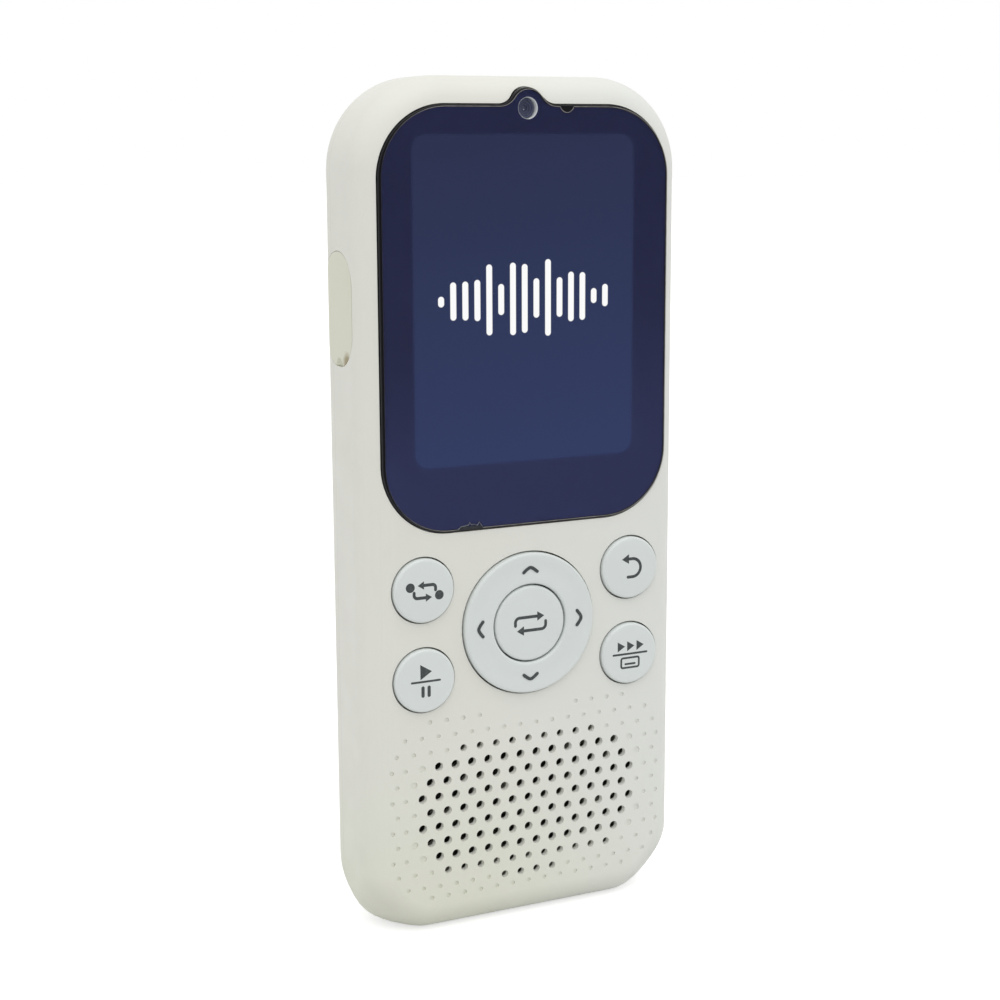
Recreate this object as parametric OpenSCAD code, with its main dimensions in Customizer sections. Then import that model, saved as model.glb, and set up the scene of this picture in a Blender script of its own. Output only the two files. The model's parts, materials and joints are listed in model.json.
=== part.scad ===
// Handheld language repeater: a moulded two-part housing with a screen, a round
// keypad, a staggered speaker grille and a soft port cover on its left side.
// The body stands on its lower end: X to the right, Y into the body, Z up.

/* [Body] */
// Width of the body
body_w = 53.5; // [52.5:0.1:66]
// Height of the body
body_h = 130.1; // [129.1:0.1:150]
// Thickness of the body, front plane to back plane
body_t = 16.4; // [15.8:0.1:20]
// Radius of the body's upper corners in the front view
corner_top_r = 13.6; // [10:0.1:18]
// Radius of the body's lower corners in the front view
corner_low_r = 10.6; // [8:0.1:18]
// Radius of the rounded front edge
front_r = 4.5; // [3.2:0.1:5]
// Radius of the rounded rear edge
rear_r = 4.3; // [3:0.1:5]
// Wall thickness of both housings
wall = 1.8; // [1.6:0.1:2.2]
// Depth of the rear housing, back plane to parting line
rear_shell_t = 5; // [4.2:0.1:5.4]
// Height of the lip that locates the two housings
lip_h = 1.2; // [0.8:0.1:1.6]
// Clearance around the lip
lip_gap = 0.1; // [0.05:0.05:0.2]

/* [Screen] */
// Rim of the front face left beside the glass
glass_rim = 2.9; // [2.4:0.05:3.6]
// Height of the glass without its camera bump
glass_h = 62.7; // [61.6:0.1:65]
// Corner radius of the glass
glass_r = 10.5; // [6:0.5:12]
// Distance from the top of the body to the top edge of the glass
glass_top = 4.2; // [3.8:0.05:5]
// Thickness of the glass
glass_t = 1.3; // [1.2:0.05:1.5]
// How far the glass stands above the front plane
glass_proud = 0.2; // [0.1:0.05:0.3]
// Gap between the glass and its pocket
glass_gap = 0.15; // [0.1:0.05:0.3]
// Thickness of the adhesive frame under the glass
adhesive_t = 0.2; // [0.1:0.05:0.3]
// Width of the adhesive frame
adhesive_w = 1.6; // [1:0.1:2]
// Thickness of the protective film
film_t = 0.15; // [0.1:0.05:0.3]
// Border of the glass left bare by the film
film_inset = 0.2; // [0.1:0.05:1]
// Radius of the lift notch in the film's top edge
film_notch_r = 0.9; // [0.5:0.1:1.5]
// Place of the lift notch, right of the centre line
film_notch_x = 6.7; // [6:0.1:10]
// Border of the glass beside the display module
lcd_side = 3.7; // [3.6:0.05:6]
// Border of the glass above the display module
lcd_top = 3.6; // [3.6:0.1:4]
// Border of the glass below the display module
lcd_bottom = 3.8; // [3.4:0.1:8]
// Thickness of the display panel
lcd_panel_t = 1.3; // [0.8:0.1:1.5]
// Thickness of the backlight behind the panel
backlight_t = 1.4; // [0.8:0.1:1.5]
// Gap around the display module in its window
lcd_gap = 0.3; // [0.2:0.05:0.4]
// Width of the foam frame behind the backlight
foam_w = 3; // [2:0.5:4]

/* [Camera] */
// Radius of the camera hole in the glass
camera_r = 1.55; // [1.3:0.05:1.8]
// Distance of the camera below the glass's top edge
camera_drop = 0.5; // [0.4:0.1:1.2]
// Radius of the glass bump round the camera
bump_r = 3; // [2.8:0.05:3.2]
// Radius of the hollow blend beside the bump
bump_blend_r = 2.7; // [1:0.1:3.2]
// Wall of the gasket round the camera hole
camera_gasket_t = 0.65; // [0.4:0.05:0.7]
// Width of the camera block
camera_w = 6.2; // [5:0.1:8]
// Height of the camera block
camera_h = 5; // [4:0.1:5.2]
// Gap between the lens and the gasket
lens_gap = 0.15; // [0.1:0.05:0.3]
// Length of the lens barrel
lens_t = 1.7; // [0.5:0.1:1.9]

/* [Keypad] */
// Distance from the glass's lower edge to the keypad's centre
keypad_drop = 15.4; // [14.5:0.1:16]
// Radius of the four outer keys
key_r = 4.9; // [4:0.1:5.4]
// Distance from the body's side to the outer keys' centres
key_side = 9.1; // [8.8:0.05:9.8]
// Half the height between the upper and lower keys
key_rise = 6.95; // [6.6:0.05:7.4]
// Gap between the direction ring and the outer keys
key_lane = 3.03; // [2.4:0.01:5]
// Radius of the centre key, as a part of the direction ring's radius
centre_part = 0.536; // [0.4:0.002:0.55]
// How far the keys stand above the front plane
key_proud = 0.8; // [0.4:0.1:1.2]
// Gap round each key
key_gap = 0.25; // [0.2:0.05:0.4]
// Radius of the rounded rim on each key
rim_r = 0.45; // [0.2:0.05:0.6]
// Travel of a key when it is pressed
key_travel = 0.35; // [0.2:0.05:0.4]
// Width of the flange that keeps a key in its hole
flange_w = 0.8; // [0.6:0.1:1]
// Thickness of that flange
flange_t = 0.7; // [0.5:0.1:0.8]
// Gap between a flange and the front wall
flange_gap = 0.1; // [0.05:0.05:0.2]
// Room that the ring needs under the front wall to rock
rock_gap = 0.5; // [0.5:0.05:0.6]
// Thickness of the ring's flange
ring_flange_t = 0.35; // [0.3:0.05:0.5]
// Gap between the ring and the soft pad under it
pad_gap = 0.35; // [0.3:0.05:0.4]
// Thickness of the soft pad
pad_t = 0.5; // [0.4:0.05:0.6]
// Radius of the foot that presses a switch
stem_r = 1.5; // [1:0.1:2]
// Height of a switch above the board
switch_h = 0.7; // [0.5:0.05:0.8]
// Height of the button on a switch
button_h = 0.25; // [0.1:0.05:0.3]
// Width of a switch
switch_w = 4.5; // [3:0.1:5]
// Gap left between a pressed key and its switch
press_gap = 0.05; // [0.05:0.05:0.15]

/* [Grille] */
// Height of the grille's middle row above the base
grille_z = 22.05; // [21.5:0.05:23]
// Distance between neighbouring holes
hole_pitch = 2.78; // [2.5:0.02:2.82]
// Radius of the main holes
hole_r = 0.68; // [0.4:0.02:0.9]
// Radius of the holes in the edge rows
hole_edge_r = 0.57; // [0.3:0.02:0.8]
// Radius of the dimples next to the holes
dimple_r = 0.53; // [0.3:0.02:0.7]
// Radius of the outer dimples
dimple_edge_r = 0.34; // [0.2:0.02:0.6]
// Depth of the dimples
dimple_d = 0.2; // [0.1:0.05:0.5]
// Least distance from the outermost dimples to the body's side
dimple_side = 3.7; // [3:0.1:4.4]
// Least height of the lowest dimples above the base
dimple_low = 5.9; // [5.2:0.1:6.4]
// Bare band between the lower keys' flanges and the first row of holes
hole_band = 4.6; // [4:0.1:8]
// Bare band between the lower keys and the first row of dimples
dimple_band = 1.5; // [1:0.1:3]

/* [Port cover] */
// Length of the cover along the side
cover_len = 16.7; // [16:0.1:20]
// Width of the cover across the side
cover_w = 10; // [9.6:0.1:10.6]
// Corner radius of the cover
cover_r = 4.8; // [3:0.1:5]
// Distance from the front plane to the cover's middle
cover_d = 8.9; // [8.7:0.1:9.1]
// Distance from the top of the body to the cover's middle
cover_drop = 33.7; // [33:0.1:36]
// Thickness of the cover
cover_t = 1.2; // [1:0.05:1.3]
// Gap between the cover and its recess
cover_gap = 0.2; // [0.2:0.05:0.3]
// Thickness of the cover at its bending line
cover_hinge_t = 0.6; // [0.4:0.05:0.7]
// Distance from the cover's upper end to its bending line
cover_hinge_in = 0.8; // [0.6:0.05:0.9]
// Radius of the fingernail scoop at the cover's lower end
scoop_r = 1.5; // [1:0.1:2]
// Length of the plug on the cover that seals the charging socket
plug_len = 0.9; // [0.5:0.1:1.2]

/* [Sockets] */
// Width of the charging socket
usb_w = 8.94; // [8.34:0.02:9.2]
// Height of the charging socket
usb_h = 3.16; // [3:0.02:3.3]
// Length of the charging socket
usb_len = 7.35; // [6:0.05:8]
// Sheet thickness of the charging socket
usb_wall = 0.3; // [0.2:0.05:0.4]
// Width of the memory card slot
card_w = 12; // [11.8:0.1:13]
// Length of the memory card slot
card_len = 14; // [12:0.1:15]
// Height of the memory card slot
card_h = 1.8; // [1.6:0.05:2]
// Thickness of the gap that takes the card
card_mouth = 1; // [0.8:0.05:1.1]
// Width of the gap that takes the card
card_mouth_w = 11.2; // [11:0.05:11.4]
// Radius of the headphone socket's bore
jack_r = 1.8; // [1.75:0.05:1.9]
// Length of the headphone socket's bore
jack_len = 14; // [12:0.5:15]
// Place of the headphone socket, right of the centre line
jack_x = 9; // [8:0.5:10]
// Distance from the front plane to the headphone socket's axis
jack_d = 7; // [6.8:0.1:7.2]
// Outer radius of the headphone socket's collar
jack_collar_r = 2.6; // [2.4:0.05:2.7]
// Width of the headphone socket's block
jack_w = 6; // [5.6:0.1:7]
// Gap round the sockets in the housing and the board
socket_gap = 0.15; // [0.1:0.05:0.2]

/* [Inside] */
// Gap between the display's backlight and the card slot
slot_gap = 0.3; // [0.2:0.05:0.5]
// Thickness of the main board
board_t = 1.2; // [1:0.1:1.6]
// Gap between the board and the housing's sides
board_gap = 0.4; // [0.3:0.05:0.6]
// Gap between the board and the battery
battery_gap = 0.6; // [0.4:0.1:1]
// Gap between the battery and the charging socket beside it
battery_side = 2.45; // [2.2:0.05:6]
// Height of the battery
battery_h = 50; // [40:1:54]
// Gap between the battery and the headphone socket above it
battery_top = 3; // [2:0.5:5]
// Thickness of the pad that holds the battery
battery_pad_t = 0.8; // [0.5:0.1:1.2]
// Gap between the battery and the ribs beside it
rib_gap = 0.3; // [0.2:0.05:0.6]
// Thickness of the ribs inside the housings
rib_t = 1.2; // [0.8:0.1:1.5]
// Margin of the speaker round the grille's holes
speaker_rim = 1.2; // [1:0.1:1.5]
// Gap between the speaker and the board above it
speaker_gap = 1.8; // [1:0.1:3]
// Depth of the speaker's frame
speaker_t = 3.2; // [2.5:0.1:4]
// Wall of the speaker's frame
speaker_wall = 1; // [0.8:0.1:1.5]
// Depth of the speaker's magnet
magnet_t = 2.4; // [1.5:0.1:2.6]
// Radius of the speaker's magnet
magnet_r = 8; // [6:0.5:9]
// Thickness of the dust mesh behind the grille
mesh_t = 0.15; // [0.1:0.05:0.3]
// Thickness of the foam ring between mesh and speaker
speaker_gasket_t = 0.6; // [0.4:0.1:1]
// Radius of the microphone capsule
mic_r = 2; // [1.5:0.1:2.2]
// Height of the microphone capsule
mic_h = 1.6; // [1:0.1:2]
// Radius of the sound hole under the microphone
mic_hole_r = 0.6; // [0.3:0.05:0.8]
// Place of the microphone, right of the centre line
mic_x = 10; // [8:0.5:11]

/* [Power key] */
// Length of the power key
power_len = 9; // [7:0.1:11]
// Width of the power key
power_w = 3; // [2.4:0.1:3.2]
// Distance from the top of the body to the power key's middle
power_drop = 28; // [27:0.5:40]
// Gap round the power key
power_gap = 0.2; // [0.15:0.05:0.3]
// Thickness of the power key's flange
power_flange = 0.7; // [0.5:0.1:0.8]
// Room between the side wall and the power switch
power_room = 1.9; // [1.8:0.1:2.2]
// Length of the power switch
power_switch_w = 3; // [2.5:0.1:4]

/* [Screws] */
// Distance from the body's side to the screws
screw_side = 6.8; // [6.6:0.1:7]
// Distance of the lower screws below the lower keys' centres
screw_below = 9.3; // [9:0.1:9.6]
// Distance from the top of the body to the upper screws
screw_drop = 13.5; // [12.5:0.1:15]
// Radius of the screw's shank
screw_r = 0.85; // [0.6:0.05:0.9]
// Radius of the screw's head
head_r = 1.7; // [1.4:0.05:1.8]
// Height of the screw's head
head_h = 1.1; // [0.8:0.1:1.3]
// Depth of the head's seat below the back plane
head_seat = 1.6; // [1.4:0.1:1.8]
// Length of the screw's shank
screw_len = 6.4; // [5:0.1:6.6]
// Gap round the shank and the head
screw_gap = 0.1; // [0.05:0.05:0.2]
// Radius of the screw bosses
boss_r = 1.9; // [1.6:0.05:2]

/* [Hidden] */
$fn = 48;

// Colours
ivory = [0.84, 0.84, 0.81];
key_white = [0.83, 0.85, 0.84];
cover_cream = [0.82, 0.83, 0.77];
ink_black = [0.12, 0.12, 0.2];
board_green = [0.1, 0.35, 0.2];
steel = [0.72, 0.73, 0.75];
soft_grey = [0.3, 0.3, 0.32];

// Overshoot of every cut past the face it leaves
cut = 0.5;
// Overlap of features that grow out of a wall
bite = 0.3;

// Depths from the front plane, which lies at Y = front_y
front_y = (key_proud - body_t) / 2;
parting = body_t - rear_shell_t;
glass_back = glass_t - glass_proud;
ledge_d = glass_back + adhesive_t;
panel_back = glass_back + lcd_panel_t;
lcd_back = panel_back + backlight_t;
board_d = lcd_back + slot_gap + card_h;
board_back = board_d + board_t;
switch_top = board_d - switch_h;
stem_end = switch_top - press_gap - key_travel;
flange_d = wall + flange_gap;
flange_end = flange_d + flange_t;
ring_flange_d = wall + rock_gap;
ring_end = ring_flange_d + ring_flange_t;
pad_d = ring_end + pad_gap;
pad_end = pad_d + pad_t;
battery_d = board_back + battery_gap;
battery_end = body_t - wall - battery_pad_t;
boss_end = parting - lip_h - lip_gap;
seat_d = body_t - head_seat;

// Heights above the base
glass_z1 = body_h - glass_top;
glass_z0 = glass_z1 - glass_h;
camera_z = glass_z1 - camera_drop;
lcd_z1 = glass_z1 - lcd_top;
lcd_z0 = glass_z0 + lcd_bottom;
lcd_h = lcd_z1 - lcd_z0;
keypad_z = glass_z0 - keypad_drop;
key_x = body_w / 2 - key_side;
ring_r = sqrt(pow(key_x, 2) + pow(key_rise, 2)) - key_r - key_lane;
centre_r = ring_r * centre_part;
key_top_z = keypad_z + key_rise;
key_low_z = keypad_z - key_rise;
cover_z = body_h - cover_drop;
cover_z1 = cover_z + cover_len / 2;
hinge_z = cover_z1 - cover_hinge_in;
screw_x = body_w / 2 - screw_side;
screw_low = key_low_z - screw_below;
screw_top = body_h - screw_drop;
power_z = body_h - power_drop;

// Widths
glass_w = body_w - 2 * glass_rim;
lcd_w = glass_w - 2 * lcd_side;
side_x = body_w / 2;
inner_x = side_x - wall;

// Corner centres in the front view, and the straight edges between them
low_x = side_x - corner_low_r;
top_x = side_x - corner_top_r;
top_z = body_h - corner_top_r;
side_run = top_z - corner_low_r;
core_x = max(low_x, top_x);
// Each corner: turn, centre, radius and length of the straight edge that follows it
CORNERS = [[0, [top_x, top_z], corner_top_r, side_run],
    [90, [-top_x, top_z], corner_top_r, 2 * top_x],
    [180, [-low_x, corner_low_r], corner_low_r, side_run],
    [270, [low_x, corner_low_r], corner_low_r, 2 * low_x]];

// Depth of the front surface at a distance from the centre line
function front_fall(x) = x < side_x - front_r ? 0
    : front_r - sqrt(pow(front_r, 2) - pow(x - side_x + front_r, 2));

// Switches under the direction ring stand midway across it
switch_reach = (ring_r + centre_r + key_gap) / 2;
board_z1 = lcd_z1 + camera_h / 2;

// Grille rows, counted down from the middle one: row, reach of the holes,
// first dimple and last dimple, in hole pitches from the centre line (none is -1)
GRILLE = [[-5, -1, 3, 6], [-4, -1, 0.5, 7.5], [-3, 4, 5, 8], [-2, 5.5, 6.5, 8.5], [-1, 6, 7, 8],
    [0, 6.5, 7.5, 8.5], [1, 6, 7, 8], [2, 6.5, 7.5, 8.5], [3, 6, 7, 8], [4, 5.5, 6.5, 8.5],
    [5, 5, 6, 8], [6, 1.5, 2.5, 7.5], [7, -1, 0, 6]];
// Rows whose dimple next to the holes is a large one
LARGE_DIMPLES = [-2, -1, 3, 4];
row_pitch = hole_pitch * sin(60);
function row_z(row) = grille_z - row[0] * row_pitch;
// The outermost dimples lie on the rounded edge
dimple_x = side_x - dimple_side;
dimple_rows = [for (row = GRILLE) if (row_z(row) < key_low_z - key_r - dimple_band) row];
hole_rows = [for (row = GRILLE)
    if (row[1] > 0 && row_z(row) < key_low_z - key_r - flange_w - hole_band) row];
first_hole_row = min([for (row = hole_rows) row[0]]);
last_hole_row = max([for (row = hole_rows) row[0]]);
widest_reach = max([for (row = hole_rows) row[1]]);
speaker_w = 2 * (widest_reach * hole_pitch + hole_r + speaker_rim);
speaker_h = (last_hole_row - first_hole_row) * row_pitch + 2 * (hole_edge_r + speaker_rim);
speaker_z = grille_z - (first_hole_row + last_hole_row) / 2 * row_pitch;
board_z0 = speaker_z + speaker_h / 2 + speaker_gap;
mesh_end = wall + mesh_t;
gasket_end = mesh_end + speaker_gasket_t;
speaker_end = gasket_end + speaker_t;

// Sockets
recess_d = cover_t + cover_gap;
socket_x = -side_x + recess_d;
battery_w = 2 * (-socket_x - usb_len - battery_side);
usb_d = board_back + usb_h / 2;
card_d = board_d - card_h / 2;
jack_base = body_h - jack_len;

// Power key, pressed along -X
power_d = board_back + power_w / 2 - bite;
power_switch_x = inner_x - power_room;

// Bought-in electronics that stand on the board
can_w = 18;
can_h = 15;
can_t = 1.6;
can_z = lcd_z0 + foam_w + can_h / 2 + rib_t;
chip_w = 9;
chip_t = 1;
chip_x = socket_x + card_len + slot_gap + chip_w / 2;
cone_t = 0.4;
tongue_w = 6.7;
tongue_t = 0.7;
tongue_back = 1;
gasket_d = ledge_d + wall;
battery_z = jack_base - rib_t - battery_top - battery_h / 2;

// Ribbon of the display and its connector
flex_t = 0.15;
flex_w = 14;
connector_h = 1.6;
connector_t = 1.2;
connector_z = keypad_z + ring_r + key_gap + flange_w + connector_h / 2;
flex_z = connector_z + connector_h / 2;
flex_d = board_d - connector_t / 2;

// Cross recess of a screw head
recess_w = 0.6;
recess_len = 2.4;

// A shape drawn in the front view, carried from depth d0 to depth d1
module slab(d0, d1) {
    translate([0, front_y + d1, 0]) rotate([90, 0, 0]) linear_extrude(d1 - d0) children();
}

// A shape drawn across the side, with Y and Z as its axes, carried from x0 to x1
module side_slab(x0, x1) {
    translate([x0, front_y, 0]) rotate([90, 0, 90]) linear_extrude(x1 - x0) children();
}

// A turned piece whose axis runs into the body at x, z
module turned(x, z) {
    translate([x, front_y, z]) rotate([-90, 0, 0]) rotate_extrude() children();
}

// A round bar along the depth
module bar(x, z, d0, d1, r) {
    translate([x, front_y + d0, z]) rotate([-90, 0, 0]) cylinder(h = d1 - d0, r = r);
}

// A rectangle with round corners, centred
module rounded(w, h, r) {
    square([w - 2 * r, h], center = true);
    square([w, h - 2 * r], center = true);
    for (sx = [-1, 1], sy = [-1, 1])
        translate([sx * (w / 2 - r), sy * (h / 2 - r)]) circle(r);
}

// A slot with round ends
module racetrack(w, h) {
    r = min(w, h) / 2;
    square([w - (w > h ? 2 * r : 0), h - (h > w ? 2 * r : 0)], center = true);
    for (s = [-1, 1])
        translate([w > h ? s * (w / 2 - r) : 0, h > w ? s * (h / 2 - r) : 0]) circle(r);
}

// The body's outline in the front view, drawn in by an inset
module body_outline(inset) {
    for (c = CORNERS)
        translate(c[1]) rotate(c[0]) {
            circle(c[2] - inset);
            translate([0, -c[3]]) square([c[2] - inset, c[3]]);
        }
    translate([-core_x, corner_low_r]) square([2 * core_x, side_run]);
}

// The cross-section of the body's edge from a corner's centre outwards, rounded at the back
// and at the front
module edge_section(r, inset) {
    run = r - inset;
    depth = body_t - 2 * inset;
    back_round = rear_r - inset;
    front_round = front_r - inset;
    difference() {
        square([run, depth]);
        translate([run - back_round, back_round]) difference() {
            translate([0, -back_round - cut]) square(back_round + cut);
            circle(back_round);
        }
        translate([run - front_round, depth - front_round]) difference() {
            square(front_round + cut);
            circle(front_round);
        }
    }
}

// The whole body drawn in by an inset: four turned corners, four straight edges and a core
module pillow(inset) {
    translate([0, front_y + body_t - inset, 0]) rotate([90, 0, 0]) {
        for (c = CORNERS)
            translate([c[1][0], c[1][1], 0]) rotate(c[0]) {
                rotate_extrude(angle = 90) edge_section(c[2], inset);
                rotate([90, 0, 0]) linear_extrude(c[3]) edge_section(c[2], inset);
            }
        translate([-core_x, corner_low_r, 0]) cube([2 * core_x, side_run, body_t - 2 * inset]);
    }
}

// The outline of the glass: a rounded rectangle with a blended bump round the camera
module screen_outline(grow) {
    top = glass_z1 + grow;
    r = bump_r + grow;
    blend = bump_blend_r - grow;
    rise = top + blend - camera_z;
    foot = sqrt(pow(r + blend, 2) - pow(rise, 2));
    touch = camera_z + r * rise / (r + blend);
    translate([0, glass_z1 - glass_h / 2])
        rounded(glass_w + 2 * grow, glass_h + 2 * grow, glass_r + grow);
    translate([0, camera_z]) circle(r);
    difference() {
        translate([-foot, top - cut]) square([2 * foot, touch - top + cut]);
        for (s = [-1, 1])
            translate([s * foot, top + blend]) circle(blend);
    }
}

module lcd_outline(grow) {
    translate([-lcd_w / 2 - grow, lcd_z0 - grow]) square([lcd_w + 2 * grow, lcd_h + 2 * grow]);
}

// The headphone socket's block in the front view
module jack_outline(grow) {
    translate([jack_x - jack_w / 2 - grow, jack_base - rib_t - grow])
        square([jack_w + 2 * grow, jack_len + 2 * grow]);
}

// The four outer keys
module at_keys() {
    for (sx = [-1, 1], z = [key_low_z, key_top_z])
        translate([sx * key_x, 0, z]) children();
}

// Screw places
module at_screws() {
    for (sx = [-1, 1], z = [screw_low, screw_top])
        translate([sx * screw_x, 0, z]) children();
}

// Sound holes right through the front wall
module grille_holes() {
    for (row = hole_rows, u = [-row[1]:1:row[1]])
        bar(u * hole_pitch, row_z(row), -cut, wall + cut,
            row[0] == first_hole_row || row[0] >= last_hole_row - 1 ? hole_edge_r : hole_r);
}

// Shallow dimples that fade the grille out
module grille_dimples() {
    for (row = dimple_rows, u = [row[2]:1:row[3]], s = u == 0 ? [1] : [-1, 1]) {
        large = u == row[2] && len([for (r = LARGE_DIMPLES) if (r == row[0]) r]) > 0;
        x = min(u * hole_pitch, dimple_x);
        z = max(row_z(row), dimple_low);
        bar(s * x, z, -cut, front_fall(x) + dimple_d, large ? dimple_r : dimple_edge_r);
    }
}

// The port cover's outline on the side, as Y from the front plane and Z
module cover_outline(grow) {
    translate([cover_d, cover_z])
        rounded(cover_w + 2 * grow, cover_len + 2 * grow, cover_r + grow);
}

// The recess for the cover and the openings to the sockets behind it
module port_cuts() {
    difference() {
        side_slab(-side_x - cut, -side_x / 2) cover_outline(cover_gap);
        pillow(recess_d);
    }
    side_slab(-side_x - cut, -inner_x + cut) {
        translate([usb_d, cover_z]) racetrack(usb_h + 2 * socket_gap, usb_w + 2 * socket_gap);
        translate([card_d, cover_z]) square([card_mouth, card_mouth_w], center = true);
    }
}

// The hole for the headphone socket's collar, which also notches the lip behind it
module jack_hole() {
    translate([jack_x, front_y + jack_d, body_h - wall - cut])
        cylinder(h = wall + 2 * cut, r = jack_collar_r + socket_gap);
}

module front_housing() {
    color(ivory) difference() {
        union() {
            difference() {
                pillow(0);
                pillow(wall);
            }
            // Bosses for the lower screws stand on the front wall
            for (sx = [-1, 1])
                bar(sx * screw_x, screw_low, wall - bite, boss_end, boss_r);
            // Bosses for the upper screws hang from the side walls
            for (sx = [-1, 1]) {
                bar(sx * screw_x, screw_top, board_back + slot_gap, boss_end, boss_r);
                slab(board_back + slot_gap, boss_end)
                    translate([sx * (screw_x + inner_x + bite) / 2, screw_top])
                        square([inner_x + bite - screw_x, rib_t], center = true);
            }
            // Ledges that the main board rests on
            for (sx = [-1, 1], z = [lcd_z0 + rib_t, cover_z - cover_len, cover_z + cover_len])
                slab(wall - bite, board_d)
                    translate([sx * (inner_x - board_gap), z])
                        square([2 * (board_gap + bite), 2 * rib_t], center = true);
        }
        // Open back, and the rebate for the rear housing's lip
        slab(parting, body_t + cut) body_outline(-cut);
        slab(boss_end, parting + cut) body_outline(wall / 2);
        // Pocket for the glass, window for the display and hole for the camera
        slab(-cut, ledge_d) screen_outline(glass_gap);
        slab(-cut, wall + cut) lcd_outline(lcd_gap);
        bar(0, camera_z, -cut, board_d, camera_r + camera_gasket_t + lens_gap);
        // Key holes, and room for the outer keys' flanges inside the rounded edge
        at_keys() {
            bar(0, 0, -cut, wall + cut, key_r + key_gap);
            bar(0, 0, wall, flange_end + key_travel, key_r + flange_w + key_gap);
        }
        bar(0, keypad_z, -cut, wall + cut, ring_r + key_gap);
        grille_holes();
        grille_dimples();
        at_screws() bar(0, 0, seat_d - screw_len - bite, parting, screw_r + screw_gap / 2);
        port_cuts();
        // Headphone socket, microphone and power key
        jack_hole();
        translate([mic_x, front_y + jack_d, -cut]) cylinder(h = wall + 2 * cut, r = mic_hole_r);
        side_slab(inner_x - cut, side_x + cut)
            translate([power_d, power_z]) racetrack(power_w + 2 * power_gap, power_len + 2 * power_gap);
    }
}

module rear_housing() {
    color(ivory) difference() {
        union() {
            difference() {
                pillow(0);
                pillow(wall);
                slab(-cut, parting) body_outline(-cut);
            }
            // Lip that locates the front housing
            difference() {
                slab(parting - lip_h, parting + bite) body_outline(wall / 2 + lip_gap);
                slab(parting - lip_h - cut, parting + 2 * bite) body_outline(wall);
            }
            at_screws() bar(0, 0, boss_end, body_t - wall + bite, boss_r + screw_gap);
            // Ribs beside the battery
            for (sx = [-1, 1])
                slab(battery_d + rib_t, body_t - wall + bite)
                    translate([sx * (battery_w / 2 + rib_gap + rib_t / 2), battery_z])
                        square([rib_t, battery_h / 2], center = true);
        }
        at_screws() {
            bar(0, 0, boss_end - cut, body_t, screw_r + screw_gap);
            bar(0, 0, seat_d, body_t + cut, head_r + screw_gap);
        }
        port_cuts();
        jack_hole();
    }
}

module housing_screws() {
    color(steel) at_screws() {
        bar(0, 0, seat_d - screw_len, seat_d + head_h / 2, screw_r);
        difference() {
            bar(0, 0, seat_d, seat_d + head_h, head_r);
            slab(seat_d + head_h / 2, seat_d + head_h + cut) for (a = [0, 90])
                rotate(a) square([recess_len, recess_w], center = true);
        }
    }
}

module screen_glass() {
    color(ink_black) difference() {
        slab(-glass_proud, glass_back) screen_outline(0);
        bar(0, camera_z, -glass_proud - cut, glass_back + cut, camera_r);
    }
}

module screen_film() {
    color([0.7, 0.75, 0.8]) difference() {
        slab(-glass_proud - film_t, -glass_proud) screen_outline(-film_inset);
        bar(0, camera_z, -glass_proud - film_t - cut, cut, camera_r + film_inset);
        bar(film_notch_x, glass_z1 - film_inset, -glass_proud - film_t - cut, cut, film_notch_r);
    }
}

module screen_adhesive() {
    color(soft_grey) difference() {
        slab(glass_back, ledge_d) screen_outline(-glass_gap);
        slab(glass_back - cut, ledge_d + cut) translate([0, glass_z1 - glass_h / 2])
            rounded(glass_w - 2 * adhesive_w, glass_h - 2 * adhesive_w, glass_r - adhesive_w);
        slab(glass_back - cut, ledge_d + cut) lcd_outline(lcd_gap);
        bar(0, camera_z, glass_back - cut, ledge_d + cut, camera_r + camera_gasket_t + lens_gap);
    }
}

module lcd_panel() {
    color([0.15, 0.18, 0.3]) slab(glass_back, panel_back) lcd_outline(0);
}

module lcd_backlight() {
    color(steel) slab(panel_back, lcd_back) lcd_outline(0);
}

module lcd_foam() {
    color(soft_grey) difference() {
        slab(lcd_back, board_d) lcd_outline(0);
        slab(lcd_back - cut, board_d + cut) lcd_outline(-foam_w);
        side_slab(-side_x, -side_x + recess_d + card_len + slot_gap)
            translate([card_d, cover_z]) square([2 * card_h, card_w + 2 * slot_gap], center = true);
        slab(lcd_back - cut, board_d + cut) jack_outline(slot_gap);
    }
}

// Ribbon from the display's lower edge to its connector, drawn as depth and height
module lcd_flex() {
    color([0.75, 0.5, 0.15]) side_slab(-flex_w / 2, flex_w / 2)
        polygon([[panel_back, lcd_z0], [panel_back, lcd_z0 - slot_gap],
            [flex_d - flex_t, flex_z + slot_gap], [flex_d - flex_t, flex_z], [flex_d, flex_z],
            [flex_d, flex_z + slot_gap], [panel_back + flex_t, lcd_z0 - slot_gap],
            [panel_back + flex_t, lcd_z0]]);
}

module flex_connector() {
    color([0.9, 0.88, 0.8]) slab(board_d - connector_t, board_d)
        translate([0, connector_z]) square([flex_w + connector_h, connector_h], center = true);
}

module camera_module() {
    color([0.1, 0.1, 0.11]) slab(gasket_d, board_d)
        translate([0, lcd_z1 + lcd_gap + camera_h / 2]) square([camera_w, camera_h], center = true);
}

module camera_lens() {
    lens_r = camera_r - lens_gap;
    color([0.2, 0.22, 0.3]) turned(0, camera_z) difference() {
        translate([0, gasket_d - lens_t]) square([lens_r, lens_t]);
        translate([lens_r - rim_r, gasket_d - lens_t + rim_r]) difference() {
            translate([0, -rim_r - cut]) square(rim_r + cut);
            circle(rim_r);
        }
    }
}

module camera_gasket() {
    color([0.7, 0.71, 0.72]) turned(0, camera_z)
        translate([camera_r, glass_back]) square([camera_gasket_t, gasket_d - glass_back]);
}

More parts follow.
